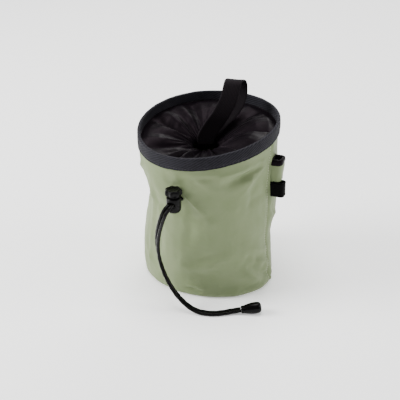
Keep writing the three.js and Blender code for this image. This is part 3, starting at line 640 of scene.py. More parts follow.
# %% Table of creases
CREASES = [
    # from azimuth and height, to azimuth and height, width and rise in mm, power
    (-115, 104, -93, 82, 2.0, 1.3, 1.2),
    (-93, 82, -84, 68, 4.0, 0.7, 1.6),
    (-111, 97, -104, 80, 5.0, -1.2, 2.0),
    (-80, 117, -40, 122, 2.6, 0.9, 1.5),
    (-79, 109, -44, 116, 3.6, -1.3, 1.8),
    (-38, 116, -51, 113, 2.0, 0.9, 1.3),
    (-51, 113, -58, 100, 2.4, 0.8, 1.4),
    (-47, 106, -52, 92, 4.0, -0.8, 2.0),
    (-105, 118, -85, 119, 1.6, 0.5, 1.5),
    (-103, 114, -86, 115, 1.8, -0.4, 1.8),
    (-108, 33, -83, 44, 4.0, -0.8, 1.8),
    (-106, 27, -80, 38, 4.5, 0.7, 1.8),
    (-52, 44, -30, 34, 4.5, 1.2, 1.5),
    (-54, 36, -33, 26, 4.0, -1.0, 1.8),
    (-58, 24, -43, 9, 2.6, 1.3, 1.3),
    (-52, 26, -36, 12, 3.0, -1.1, 1.8),
    (-46, 30, -29, 22, 2.4, 0.9, 1.4),
    (-40, 16, -29, 9, 1.8, -1.0, 1.5),
    (-62, 6, -34, 9, 2.4, -0.9, 1.6),
    (-110, 8, -97, 7, 1.6, -1.0, 1.4),
    (-108, 11, -94, 10, 2.0, 0.6, 1.6),
    (-148, 96, -154, 60, 2.6, 0.7, 1.5),
    (-141, 92, -150, 50, 3.4, -0.7, 1.8),
    (-152, 52, -156, 14, 2.4, 0.6, 1.5),
    (-136, 60, -142, 20, 4.0, -0.6, 2.0),
    (-164, 104, -176, 84, 3.0, -1.0, 1.6),
    (-160, 112, -178, 100, 2.4, 0.8, 1.5),
    (-20, 70, -12, 58, 2.4, -0.8, 1.6),
    (-18, 62, 6, 52, 3.0, 0.9, 1.6),
    (-8, 80, 14, 70, 3.4, -0.9, 1.8),
    (18, 112, 40, 84, 3.2, 1.0, 1.5),
    (26, 110, 50, 80, 4.0, -1.0, 1.8),
    (60, 58, 92, 48, 3.6, 0.8, 1.6),
    (62, 34, 104, 26, 4.0, -0.9, 1.8),
    (112, 112, 140, 88, 3.0, 1.0, 1.5),
    (120, 106, 146, 80, 4.0, -1.0, 1.8),
    (150, 46, 172, 30, 3.4, 0.9, 1.6),
    (120, 18, 168, 12, 2.6, -0.8, 1.6),
    (30, 12, 88, 9, 2.6, -0.8, 1.6),
]
CREASE_SHARE = 1.7
SEAM_AZIMUTH = -26.0


def turn_between(a, b):
    """The turn from b to a in degrees, the short way round."""
    return (a - b + 180) % 360 - 180


def crease_relief(azimuth, z):
    """How far the creases lift the cloth at azimuths in degrees and heights in millimetres."""
    lift = np.zeros_like(z)
    for from_a, from_z, to_a, to_z, width, rise, power in CREASES:
        start = np.stack([np.radians(turn_between(from_a, azimuth)) * RIM_RADIUS, from_z - z], -1)
        run = np.array([math.radians(turn_between(to_a, from_a)) * RIM_RADIUS, to_z - from_z])
        t = np.clip(-(start @ run) / (run @ run), 0, 1)
        away = np.linalg.norm(start + t[..., None] * run, axis=-1)
        # A crease is fullest at its middle and keeps about half of its rise at its ends.
        taper = 0.35 + 0.65 * np.sin(np.pi * np.clip(t, 0.06, 0.94))
        lift += CREASE_SHARE * rise * taper * np.exp(-(away / width) ** power)
    return lift


degrees = np.degrees(azimuths)[None, :] + 0 * wall_z
relief = crease_relief(degrees, wall_z)
print("creases in mm:", round(relief.min(), 2), "to", round(relief.max(), 2))

# %% [markdown]
# Between the creases real cloth is never flat. Slow noise, stretched along the wall, adds the shallow
# waves that a stiff coated cloth takes. Where that noise crosses zero its absolute value has a sharp
# turn, and this draws the thin crests of a cloth that was once folded. The side seam is a narrow welt
# with a groove on each side, and all of it fades out under the rim band, where the cloth is held to
# a hoop.

# %% Waves, seam and fading at the top
WAVE_HEIGHT = 0.4
CRUMPLE_HEIGHT = 2.2
# millimetres round the bag and up it, and a number that picks the place in the noise
LONG_WAVES = (17, 30, 3.7)
SHORT_WAVES = (7, 12, 9.1)
OLD_FOLDS = (22, 34, 5.2)
FOLDED_PATCHES = (30, 30, 8.8)
SEAM_WELT = 1.2
SEAM_GROOVE = 0.7
GROOVE_FROM_SEAM = 2.4
FADE_BELOW_BAND = 8


def slow_noise(azimuth, z, across, up, seed):
    """Noise round the bag with waves of those sizes in millimetres."""
    values = np.empty(z.shape)
    for index, height in np.ndenumerate(z):
        a = azimuth[index]
        place = Vector((
            RIM_RADIUS * math.cos(a) / across + seed,
            RIM_RADIUS * math.sin(a) / across - seed,
            height / up,
        ))
        values[index] = noise.noise(place)
    return values


angles = azimuths[None, :] + 0 * wall_z
waves = WAVE_HEIGHT * slow_noise(angles, wall_z, *LONG_WAVES)
waves += WAVE_HEIGHT / 2 * slow_noise(angles, wall_z, *SHORT_WAVES)
sharp = 0.35 - np.abs(slow_noise(angles + wall_z / 90, wall_z, *OLD_FOLDS))
folded = 0.6 + slow_noise(angles, wall_z, *FOLDED_PATCHES)
waves += CRUMPLE_HEIGHT * np.clip(sharp, -0.1, 1) * folded
from_seam = np.radians(turn_between(degrees, SEAM_AZIMUTH)) * RIM_RADIUS
welt = SEAM_WELT * np.exp(-from_seam ** 2)
welt -= SEAM_GROOVE * np.exp(-((np.abs(from_seam) - GROOVE_FROM_SEAM) / 1.1) ** 2)
below_band = np.clip((wall_tops[None, :] - wall_z) / FADE_BELOW_BAND, 0, 1)
fade = below_band * below_band * (3 - 2 * below_band)
wall = radii + (relief + waves) * fade + welt * np.clip(below_band * 3, 0, 1)
print("wall with creases in mm:", round(wall.min(), 1), "to", round(wall.max(), 1))

# %% [markdown]
# The wall turns under through a small curve and closes in a flat base. The rings go from the base up,
# the cloth gets its thickness inwards from Solidify, and its threads run round the bag and up it.

# %% Skin the body
CLOTH_THICKNESS = 1.2


def ring_at(around, radius, z):
    """A ring of points at azimuths in radians; the radius and the height may change on the way."""
    return np.stack([radius * np.cos(around), radius * np.sin(around), z + 0 * around], -1)


def body_rows():
    foot = wall[0]
    rows = [ring_at(azimuths, (foot - CORNER) * share, 0.0) for share in (0.15, 0.4, 0.65, 0.85, 1.0)]
    for angle in np.radians([15, 30, 45, 60, 75]):
        radius = foot - CORNER + CORNER * np.sin(angle)
        rows.append(ring_at(azimuths, radius, CORNER * (1 - np.cos(angle))))
    rows += [ring_at(azimuths, r, z) for r, z in zip(wall, wall_z)]
    return np.array(rows)


def cloth_uv(rows):
    """Millimetres round the bag and along the rows."""
    steps = np.linalg.norm(np.diff(rows, axis=0), axis=2).mean(axis=1)
    along = np.r_[0, np.cumsum(steps)]
    turned = np.linspace(0, math.tau * RIM_RADIUS, rows.shape[1] + 1)
    return np.stack(np.meshgrid(turned, along), -1)


def thicken(piece, thickness):
    solid = piece.modifiers.new("wall", "SOLIDIFY")
    solid.thickness = thickness * MM
    solid.offset = -1.0
    apply_modifiers(piece)


def apply_modifiers(piece):
    """The piece with its modifiers made part of its mesh."""
    graph = bpy.context.evaluated_depsgraph_get()
    mesh = bpy.data.meshes.new_from_object(piece.evaluated_get(graph), depsgraph=graph)
    piece.modifiers.clear()
    old = piece.data
    piece.data = mesh
    bpy.data.meshes.remove(old)
    return piece


rows = body_rows()
tub = skin("tub", rows, sage_nylon, cloth_uv(rows), pole=(0, 0, 0))
thicken(tub, CLOTH_THICKNESS)
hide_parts("bag_body")
print("tub faces:", len(tub.data.polygons))

# %% [markdown]
# The rim band is a strip of twill folded over the mouth and sewn through near its lower edge. The
# stitches pull a shallow groove into it, and the fold at the top stays round. Its section goes round
# the mouth once, with a slow wobble so that it doesn't look turned on a lathe.

# %% Fold the band over the rim
STITCH_UP = 1.7
GROOVE = 0.35
BAND_BULGE = 0.22
FOLD_RADIUS = 0.7
BAND_COLUMNS = 360
BAND_WOBBLE = 0.3
WOBBLE_WAVES = (13, 9, 5.3)
EDGE_WANDER = 0.25
EDGE_WAVES = (9, 9, 1.9)


def stitch_groove(up):
    return GROOVE * math.exp(-((up - STITCH_UP) / 0.7) ** 2)


def band_foot(around):
    """Height of the band's lower edge at azimuths in radians, a little uneven as a sewn edge is."""
    return rim_height(around) - BAND_HEIGHT + EDGE_WANDER * slow_noise(around, 0 * around, *EDGE_WAVES)


def band_section():
    """Points out from the rim radius and up from the band's foot, in millimetres."""
    side = BAND_HEIGHT - FOLD_RADIUS
    points = [(-0.3, 0.0), (-0.08, 0.08), (0.0, 0.35)]
    for up in np.arange(0.8, side, 0.55):
        points.append((BAND_BULGE * math.sin(math.pi * up / side) - stitch_groove(up), up))
    for angle in np.radians(np.arange(0, 91, 22.5)):
        points.append((FOLD_RADIUS * (math.cos(angle) - 1), side + FOLD_RADIUS * math.sin(angle)))
    points.append((-BAND_THICKNESS / 2, BAND_HEIGHT - 0.12))
    for angle in np.radians(np.arange(90, 181, 22.5)):
        across = -BAND_THICKNESS + FOLD_RADIUS * (1 + math.cos(angle))
        points.append((across, side + FOLD_RADIUS * math.sin(angle)))
    for up in np.arange(side - 0.6, 0, -0.8):
        points.append((-BAND_THICKNESS + stitch_groove(up), up))
    points.append((-BAND_THICKNESS, 0.0))
    return points


def rim_band_piece():
    around = np.linspace(0, math.tau, BAND_COLUMNS, endpoint=False)
    level = rim_height(around) - BAND_HEIGHT
    foot = band_foot(around)
    rows = []
    for out, up in band_section():
        radius = RIM_RADIUS + out + BAND_WOBBLE * slow_noise(around, level + up, *WOBBLE_WAVES)
        rows.append(ring_at(around, radius, foot + up))
    rows.append(rows[0])
    rows = np.array(rows)
    piece = skin("rim_binding", rows, charcoal_twill, cloth_uv(rows))
    merge_doubles(piece.data)
    return piece


rim_binding = rim_band_piece()
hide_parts("rim_band")
print("band section points:", len(band_section()))

# %% [markdown]
# The collar is a tube of thin cloth, sewn into the rim and drawn shut by the cord in its hem. Drawing
# in a long edge leaves cloth over, and it stands up in pleats that run to the throat. Each pleat in the
# table has its own height and width, the crest is sharper than the valley, and each leans a little to
# one side as it rises. Finer gathers show only close to the throat, where there is most cloth to lose.

# %% Table of pleats
PLEATS = [
    # azimuth, share of the full height, width in degrees, lean in degrees
    (4, 0.75, 9, 2), (24, 0.60, 8, -2), (46, 0.85, 10, 3), (72, 0.60, 9, -2), (97, 0.80, 10, 2),
    (118, 0.70, 8, -3), (139, 1.00, 10, 3), (161, 0.65, 8, -2), (181, 1.00, 10, 3),
    (203, 0.90, 9, -3), (224, 0.70, 8, 2), (243, 0.95, 8, -2), (261, 0.80, 7, 2),
    (279, 0.95, 8, -2), (299, 0.75, 8, 2), (320, 1.00, 9, 3), (341, 0.85, 8, -2),
]
PLEAT_HEIGHT = 3.2
THROAT_RADIUS = 12.0
THROAT_HEIGHT = 118.0
THROAT_SHIFT = (-2.0, 1.0)
COLLAR_SEAM_DEPTH = 9.0
COLLAR_FALL = [
    # share of the way in, share of the fall, share of the pleats' height
    (0.00, 0.00, 0.10), (0.14, -0.06, 0.55), (0.36, 0.06, 1.00), (0.60, 0.32, 1.00),
    (0.80, 0.62, 0.85), (0.93, 0.82, 0.60), (1.00, 1.00, 0.40),
]


def pleat_wave(degrees_round, inward):
    """Height of the pleats round the collar, from -1 in a valley to about 1 on a full crest."""
    wave = np.full_like(degrees_round, -1.0)
    for azimuth, share, width, lean in PLEATS:
        away = turn_between(degrees_round - lean * inward, azimuth) / width
        wave += 2 * share * np.exp(-np.abs(away) ** 1.5)
    return wave


print("pleats:", len(PLEATS))

# %% [markdown]
# On top of the even pleats the photograph shows a few large folds that catch the light or drop into
# shadow: two broad ones at the left and behind, a wide bright one at the right with a narrow dark
# valley on each side, and short bright gathers just behind the front of the rim.

# %% Table of the large folds
COLLAR_FOLDS = [
    # azimuth at the rim and at the throat, width in degrees, lift in mm
    (170, 158, 9.0, 1.8), (193, 200, 7.0, -3.0), (210, 208, 6.0, 1.2), (150, 147, 6.0, -2.4),
    (138, 134, 6.0, 1.9), (124, 112, 7.0, 1.7), (108, 98, 6.0, -1.8), (84, 86, 6.0, 1.2),
    (60, 66, 6.0, -1.2), (30, 36, 6.0, -1.5), (10, 18, 6.0, 1.7), (346, 352, 4.0, -2.8),
    (325, 340, 9.0, 2.2), (303, 318, 4.5, -2.6), (290, 286, 3.5, 1.6), (281, 280, 2.6, -1.6),
    (273, 275, 2.6, 1.7), (256, 256, 5.0, -1.8), (241, 241, 3.5, 1.6), (232, 232, 3.0, -1.6),
    (224, 224, 3.5, 1.4),
]


def large_folds(degrees_round, inward):
    """Lift of the large folds in millimetres, which fades out at the rim and at the throat."""
    lift = np.zeros_like(degrees_round)
    for at_rim, at_throat, width, height in COLLAR_FOLDS:
        middle = at_rim + (at_throat - at_rim) * inward
        lift += height * np.exp(-np.abs(turn_between(degrees_round, middle) / width) ** 1.7)
    return lift * max(0, math.sin(math.pi * min(1, inward * 1.12))) ** 0.75


print("large folds:", len(COLLAR_FOLDS))

# %% Gather the collar
COLLAR_COLUMNS = 576
COLLAR_ROWS = 56
GATHERS = 46
GATHER_HEIGHT = 0.8
GATHER_WANDER = 180
WANDER_WAVES = (30, 30, 2.2)
WRINKLE_HEIGHT = 0.3
PLEAT_SHARE = 0.65
FOLD_SHARE = 1.5
SEWN_EDGE = [
    # out from the collar's edge and up from it: the edge stands up inside the band
    (1.2, 1.4), (0.7, 0.6),
]
HEM_ROLL = [
    # on along the cloth, back out under the collar, and down
    (0.5, 0.0, 0.7), (0.3, 0.0, 2.0), (0.0, 0.6, 2.9), (0.0, 1.8, 2.6),
]


def collar_lift(around, inward, height):
    """How far the cloth stands off its even fall, that far in from the rim."""
    circle = np.degrees(around)
    wander = GATHER_WANDER * slow_noise(around, 0 * around + 40 * inward, *WANDER_WAVES)
    gathers = np.sin(np.radians(GATHERS * circle + wander))
    # The wrinkles draw together, from 9.5 mm apart at the rim to 2.3 mm at the throat.
    wrinkle = slow_noise(around, 0 * around + 60 * inward, 9 * (1.05 - inward * 0.8), 26, 6.4)
    lift = PLEAT_SHARE * PLEAT_HEIGHT * height * pleat_wave(circle, inward)
    lift += FOLD_SHARE * large_folds(circle, inward)
    lift += GATHER_HEIGHT * inward ** 3 * gathers
    return lift + WRINKLE_HEIGHT * math.sin(math.pi * min(inward * 1.2, 1)) * wrinkle


def collar_rows():
    around = np.linspace(0, math.tau, COLLAR_COLUMNS, endpoint=False)
    edge_r = RIM_RADIUS - BAND_THICKNESS - BAND_CLEARANCE
    edge_z = rim_height(around) - COLLAR_SEAM_DEPTH
    table = np.array(COLLAR_FALL)
    rows = [ring_at(around, edge_r + out, edge_z + up) for out, up in SEWN_EDGE]
    for inward in np.linspace(0, 1, COLLAR_ROWS):
        fall, height = (np.interp(inward, table[:, 0], table[:, k]) for k in (1, 2))
        z = edge_z - (edge_z - THROAT_HEIGHT) * fall + collar_lift(around, inward, height)
        ring = ring_at(around, (1 - inward) * edge_r + inward * THROAT_RADIUS, z)
        ring[:, :2] += inward * np.array(THROAT_SHIFT)
        rows.append(ring)
    rows += hem_rows(rows[-1], rows[-2])
    return np.array(rows)


def hem_rows(last, before):
    """The hem rolls down over the draw cord and back out under the collar."""
    heading = last - before
    heading /= np.linalg.norm(heading, axis=1)[:, None]
    middle = last[:, :2].mean(axis=0)
    outward = np.zeros_like(last)
    outward[:, :2] = last[:, :2] - middle
    outward /= np.linalg.norm(outward, axis=1)[:, None]
    down = np.array([0, 0, -1.0])
    return [last + on * heading + out * outward + fall * down for on, out, fall in HEM_ROLL]


COLLAR_THICKNESS = 0.5

rows = collar_rows()
collar_skin = skin("gathered_collar", rows, black_taffeta, cloth_uv(rows))
thicken(collar_skin, COLLAR_THICKNESS)
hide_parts("collar")

# %% [markdown]
# The pull loop is one length of 15 mm webbing, sewn to the back of the throat and standing up in a
# tall loop. A strap is a thin section carried along a path, but unlike a cord its flat side must stay
# where the hand bent it, so each row of the table also says how far the flat is turned.

# %% Sweep the pull loop
LOOP_WIDTH = 14.6
LOOP_THICKNESS = 1.3
LOOP_FOOT = 115.8
LOOP_REACH = (23.0, 16.0, 54.0)
LOOP_ROWS = [
    # shares of the reach to the right, back and up, and the turn of the flat in degrees
    (0.00, 0.42, 0.000, 0), (0.00, 0.42, 0.120, 0), (0.22, 0.43, 0.300, 2), (0.54, 0.47, 0.500, 2),
    (0.82, 0.64, 0.730, 0), (0.93, 0.82, 0.920, -3), (0.98, 0.95, 0.985, -6), (1.05, 1.14, 1.000, -10),
    (1.13, 1.33, 0.975, -14), (1.22, 1.46, 0.900, -18), (1.22, 1.46, 0.700, -26),
    (0.98, 1.20, 0.500, -20), (0.48, 0.80, 0.320, -6), (0.04, 0.54, 0.150, 0), (0.00, 0.53, 0.000, 0),
]


def strap_section(width, thickness, edge=0.45):
    """A flat section with round edges, from one edge over the face and back under it."""
    half, thick = width / 2 - edge, thickness / 2
    face = [(x, thick) for x in np.linspace(half, -half, 14)]
    under = [(x, -thick) for x in np.linspace(-half, half, 14)]
    left = [(-half - edge * math.sin(a), thick * math.cos(a)) for a in np.radians((36, 72, 108, 144))]
    right = [(half + edge * math.sin(a), -thick * math.cos(a)) for a in np.radians((36, 72, 108, 144))]
    return np.array(face + left + under + right)


def section_uv(section, length):
    steps = np.linalg.norm(np.diff(np.vstack([section, section[:1]]), axis=0), axis=1)
    return np.stack(np.meshgrid(np.r_[0, np.cumsum(steps)], length), -1)


def pull_loop_piece():
    table = [(THROAT_SHIFT[0] + r * LOOP_REACH[0], THROAT_SHIFT[1] + b * LOOP_REACH[1],
              LOOP_FOOT + u * LOOP_REACH[2], turn) for r, b, u, turn in LOOP_ROWS]
    path = smooth_path(table, 0.7)
    along = tangents(path[:, :3])
    section = strap_section(LOOP_WIDTH, LOOP_THICKNESS)
    rows = []
    for (x, y, z, turn), t in zip(path, along):
        side = np.array([math.cos(math.radians(turn)), math.sin(math.radians(turn)), 0])
        side -= t * np.dot(side, t)
        side /= np.linalg.norm(side)
        face = np.cross(side, t)
        rows.append(np.array([x, y, z]) + np.outer(section[:, 0], side) + np.outer(section[:, 1], face))
    length = np.arange(len(path)) * 0.7
    return skin("pull_strap", rows, loop_webbing, section_uv(section, length), caps=True)


pull_strap = pull_loop_piece()
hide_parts("pull_loop")
print("pull strap faces:", len(pull_strap.data.polygons))

# %% [markdown]
# Three more pieces are straps bent into a loop whose two legs run into the wall: the lined cloth loop
# and the elastic below it, which hold a brush on the side seam, and the belt loop at the back. One
# function draws such a loop as it is seen along its tunnel, and each piece carries it along its own
# direction. The legs end just inside the wall, where the real ones are sewn in.

# %% Helper for straps bent into a loop
def wall_radius(azimuth, z):
    """Radius of the creased wall at an azimuth in degrees and a height in millimetres."""
    column = round((azimuth % 360) / 360 * WALL_COLUMNS) % WALL_COLUMNS
    return float(np.interp(z, wall_z[:, column], wall[:, column]))


def loop_line(width, reach, corner, legs):
    """The line of a bent strap: out along one leg, round two corners and back along the other."""
    points = [(width / 2, -legs)]
    points += [(width / 2, y) for y in np.linspace(0, reach - corner, 6)[:-1]]
    for side, first in ((1, 0), (-1, 90)):
        middle = side * (width / 2 - corner)
        for a in np.radians(np.linspace(first, first + 90, 9)):
            points.append((middle + corner * math.cos(a), reach - corner + corner * math.sin(a)))
    points += [(-width / 2, y) for y in np.linspace(reach - corner, 0, 6)[1:]]
    points.append((-width / 2, -legs))
    return np.array(points)


def loop_outline(width, reach, wall_thickness, legs=1.5):
    """The closed outline of the bent strap: its outer line and back along its inner line."""
    corner = 0.6 * min(reach, width / 2)
    outer = loop_line(width, reach, corner, legs)
    w = wall_thickness
    inner = loop_line(width - 2 * w, reach - w, max(corner - w, corner / 5), legs)
    return np.vstack([outer, inner[::-1]])


def place_on_wall(azimuth, z):
    """Where a loop stands on the wall: across it, up it and straight out."""
    a = math.radians(azimuth)
    out = np.array([math.cos(a), math.sin(a), 0])
    across = np.array([-math.sin(a), math.cos(a), 0])
    return out * wall_radius(azimuth, z) + np.array([0, 0, z]), across, out


def beside_seam(width, z):
    """The place of a loop of that width whose front leg is in the side seam."""
    radius = wall_radius(SEAM_AZIMUTH, z)
    return place_on_wall(SEAM_AZIMUTH + math.degrees(math.asin(width / 2 / radius)), z)


def soften(piece, width, segments=3):
    """Rounds the sharp edges of a piece by a bevel of that width in millimetres."""
    edge = piece.modifiers.new("edge", "BEVEL")
    edge.width = width * MM
    edge.segments = segments
    edge.limit_method = "ANGLE"
    edge.angle_limit = math.radians(40)
    return apply_modifiers(piece)


print("seam at mm:", [round(x) for x in beside_seam(13.5, 105)[0]])

# %% [markdown]
# The cloth loop is cut a little narrower at its foot than at its mouth, and its mouth slants up to the
# back. The lining stands just inside it, a clearance apart, and both are only 1 mm thick. At the mouth
# the lining is turned out over the green edge, which makes the soft black roll of the photograph, and
# on the wall side it closes the loop, so that no green shows inside. These two are drawn by themselves.

# %% The lined cloth loop
SLEEVE_TOP = 114.0
SLEEVE_HEIGHT = 17.5
SLEEVE_WIDTH = 13.5
SLEEVE_REACH = 9.0
SLEEVE_SLANT = 2.0
MOUTH_ROLL = [
    # outwards and upwards in mm, and share of the slant
    (0.0, -1.2, 1.0), (0.35, -1.0, 1.0), (0.45, -0.3, 0.8), (0.4, 1.4, 0.1), (0.2, 2.3, -0.2),
    (-0.25, 2.7, -0.3),
]
MOUTH_ROLL_THICKNESS = 2.2
SLEEVE_ROWS = [
    # share of the height, of the reach and of the width
    (0.0, 0.88, 0.80), (0.3, 0.92, 0.86), (0.7, 0.98, 0.96), (1.0, 1.0, 1.0),
]
SLEEVE_BACK = [
    # up from the top of the loop, out from the wall, and share of the width
    (-SLEEVE_HEIGHT, 0.4, 0.72), (-5.0, 0.5, 0.9), (1.6, 0.8, 1.0), (2.3, 0.7, 1.0), (2.6, 0.3, 1.0),
]


def cloth_loop(name, inset, thickness, material, trim=0.0):
    table = np.array(SLEEVE_ROWS)
    rows = []
    levels = np.linspace(0, 1, 22)
    for share in levels:
        reach, width = (np.interp(share, table[:, 0], table[:, k]) for k in (1, 2))
        z = SLEEVE_TOP - SLEEVE_HEIGHT * (1 - share)
        origin, across, out = beside_seam(SLEEVE_WIDTH, z)
        outline = loop_outline(width * SLEEVE_WIDTH - 2 * inset, reach * SLEEVE_REACH - inset, thickness)
        slant = share * SLEEVE_SLANT * outline[:, 0] / SLEEVE_WIDTH - trim * share
        ring = origin + np.outer(outline[:, 0], across) + np.outer(outline[:, 1], out)
        ring[:, 2] += slant
        rows.append(ring)
    uv = section_uv(outline, levels * SLEEVE_HEIGHT)
    piece = skin(name, rows, material, uv, caps=True)
    return soften(piece, 0.3)


def rolled_mouth():
    """The lining turned out over the cloth's top edge, as a soft black roll."""
    origin, across, out = beside_seam(SLEEVE_WIDTH, SLEEVE_TOP)
    rows = []
    for grow, up, slant in MOUTH_ROLL:
        thickness = MOUTH_ROLL_THICKNESS + 2 * grow
        outline = loop_outline(SLEEVE_WIDTH + 2 * grow, SLEEVE_REACH + grow, thickness)
        ring = origin + np.outer(outline[:, 0], across) + np.outer(outline[:, 1], out)
        ring[:, 2] += up + slant * SLEEVE_SLANT * outline[:, 0] / SLEEVE_WIDTH
        rows.append(ring)
    skin("sleeve_mouth_edge", rows, black_taffeta, caps=True)


def sleeve_back():
    """The lining on the wall side, between the two legs of the loop."""
    rows = []
    for up, thick, share in SLEEVE_BACK:
        half = share * (SLEEVE_WIDTH / 2 - 0.6)
        origin, across, out = beside_seam(SLEEVE_WIDTH, SLEEVE_TOP + up)
        corners = [(half, -0.8), (half, thick), (-half, thick), (-half, -0.8)]
        rows.append([origin + side * across + reach * out for side, reach in corners])
    soften(skin("sleeve_back_lining", rows, black_taffeta, caps=True), 0.3)


cloth_sleeve = cloth_loop("cloth_sleeve", 0.0, 1.0, sage_nylon)
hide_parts("brush_sleeve")
sleeve_inside = cloth_loop("sleeve_inside", 1.3, 1.0, black_taffeta, trim=0.2)
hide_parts("sleeve_lining")
rolled_mouth()
sleeve_back()
print("sleeve faces:", len(cloth_sleeve.data.polygons))

# %% [markdown]
# Elastic is knitted in ribs that run along its length, and its two selvedges are a little thicker. It
# is laid flat, so its corners are tight. The selvedges are in the mesh, and the ribs in the material.

# %% The elastic loop
ELASTIC_WIDTH = 9.0
ELASTIC_REACH = 12.0
ELASTIC_HEIGHT = 13.0
ELASTIC_THICKNESS = 1.4
ELASTIC_TOP = SLEEVE_TOP - SLEEVE_HEIGHT - 0.6
SELVEDGE = 0.16
SELVEDGE_AT = (0.07, 0.93)


def elastic_piece():
    origin, across, out = beside_seam(ELASTIC_WIDTH, ELASTIC_TOP)
    rows = []
    levels = np.linspace(0, 1, 30)
    for share in levels:
        edge = SELVEDGE * sum(math.exp(-((share - at) / 0.04) ** 2) for at in SELVEDGE_AT)
        # The last twentieth of the width is rounded off at each side.
        round_off = 0.5 * (1 - math.sqrt(max(0, 1 - max(0, abs(2 * share - 1) - 0.9) ** 2 * 100)))
        grow = edge - round_off
        outline = loop_outline(ELASTIC_WIDTH + 2 * grow, ELASTIC_REACH + grow, ELASTIC_THICKNESS + grow)
        ring = origin + np.outer(outline[:, 0], across) + np.outer(outline[:, 1], out)
        ring[:, 2] = ELASTIC_TOP - ELASTIC_HEIGHT * (1 - share)
        rows.append(ring)
    uv = section_uv(outline, levels * ELASTIC_HEIGHT)[..., ::-1]
    return skin("elastic_loop", rows, knitted_elastic, uv, caps=True)


elastic_loop = elastic_piece()
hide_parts("brush_elastic")
print("elastic faces:", len(elastic_loop.data.polygons))

# %% [markdown]
# The belt loop at the back is 25 mm webbing, bent the other way: its tunnel runs sideways, so a belt
# can pass through behind the bag. It is plain, because no photograph shows it.

# %% The belt loop
BELT_WIDTH = 25.0
BELT_REACH = 8.0
BELT_THICKNESS = 1.8
BELT_OPENING = 42.0
BELT_TOP = 118.0


def belt_loop_piece():
    tall = BELT_OPENING + 2 * BELT_THICKNESS
    origin, across, out = place_on_wall(90.0, BELT_TOP - tall / 2)
    outline = loop_outline(tall, BELT_REACH, BELT_THICKNESS, legs=2.5)
    rows = []
    widths = np.linspace(-BELT_WIDTH / 2, BELT_WIDTH / 2, 26)
    for at in widths:
        ring = origin + at * across + np.outer(outline[:, 1], out)
        ring[:, 2] += outline[:, 0]
        rows.append(ring)
    uv = section_uv(outline, widths)[..., ::-1]
    piece = skin("belt_strap", rows, loop_webbing, uv, caps=True)
    return soften(piece, 0.45)


belt_strap = belt_loop_piece()
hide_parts("belt_loop")
print("belt strap faces:", len(belt_strap.data.polygons))

# %% [markdown]
# The lock and the eyelet are hard parts, and the CAD model has them right. They only need what a mould
# gives them: a small round on every edge. A copy of each is merged into one skin, beveled and shaded
# smooth, and takes the place of its node. The button's copy rides on the button, so it still presses.
# The flange of the eyelet is drawn in, because behind the lock of the photograph none can be seen.

# %% Round the edges of the moulded parts
def moulded_copy(name, node, bevel, material, body):
    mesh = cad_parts[node].data.copy()
    mesh.name = name
    made = bmesh.new()
    made.from_mesh(mesh)
    bmesh.ops.remove_doubles(made, verts=made.verts, dist=2e-6)
    bmesh.ops.dissolve_limit(made, angle_limit=math.radians(1), verts=made.verts, edges=made.edges)
    made.to_mesh(mesh)
    made.free()
    piece = finished(name, mesh, material, body)
    soften(piece, bevel)
    piece.data.polygons.foreach_set("use_smooth", [True] * len(piece.data.polygons))
    piece.data.set_sharp_from_angle(angle=math.radians(35))
    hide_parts(node)
    return piece


def draw_in(piece, half_width, half_height, share):
    """Narrows a ring that lies on the wall: what is outside its opening keeps that share."""
    points = np.array([v.co for v in piece.data.vertices]) / MM
    middle = (points.min(axis=0) + points.max(axis=0)) / 2
    heading = np.array([-middle[1], middle[0], 0]) / math.hypot(middle[0], middle[1])
    for vertex, offset in zip(piece.data.vertices, points - middle):
        across = float(offset @ heading)
        reach = math.hypot(across / half_width, offset[2] / half_height)
        if reach > 1:
            pull = (1 + (reach - 1) * share) / reach - 1
            moved = across * pull * heading + np.array([0, 0, offset[2] * pull])
            vertex.co += Vector(moved * MM)


EYELET_HALF_WIDTH = 3.9
EYELET_HALF_HEIGHT = 2.2
FLANGE_KEPT = 0.45

lock_case = moulded_copy("lock_case", "lock_barrel", 0.35, satin_acetal, BAG)
lock_stem = moulded_copy("lock_stem", "lock_button", 0.3, satin_acetal, BUTTON)
cord_eyelet = moulded_copy("cord_eyelet", "eyelet", 0.2, satin_acetal, BAG)
draw_in(cord_eyelet, EYELET_HALF_WIDTH, EYELET_HALF_HEIGHT, FLANGE_KEPT)
print("lock faces:", len(lock_case.data.polygons), len(lock_stem.data.polygons))

# %% [markdown]
# The head of the button is what the thumb feels: seven lobes with grooves between them, a domed edge
# and a shallow dish on top. The CAD head draws each lobe with four sides, so it is turned again here
# with sixteen, and only the stem of the copy is kept.

# %% Turn the head of the button again
HEAD_RADIUS = 7.3
HEAD_HEIGHT = 5.2
HEAD_LOBES = 7
HEAD_SCALLOP = 1.25
STEM_INTO_HEAD = 0.4
HEAD_PROFILE = [
    # share of the radius, share of the height
    (0.60, 0.0), (0.84, 0.0), (0.93, 0.06), (1.0, 0.24), (1.0, 0.68), (0.965, 0.84), (0.88, 0.96),
    (0.76, 1.0), (0.64, 0.98), (0.50, 0.90), (0.25, 0.87), (0.01, 0.86),
]


def head_foot_and_axis():
    """The height of the head's foot and the middle of the button, read from the CAD node."""
    low, high = (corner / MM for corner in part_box("lock_button"))
    return high.z - HEAD_HEIGHT, ((low.x + high.x) / 2, (low.y + high.y) / 2)


def keep_below(piece, z):
    made = bmesh.new()
    made.from_mesh(piece.data)
    everything = made.verts[:] + made.edges[:] + made.faces[:]
    bmesh.ops.bisect_plane(
        made, geom=everything, plane_co=(0, 0, z * MM), plane_no=(0, 0, 1), clear_outer=True)
    made.to_mesh(piece.data)
    made.free()


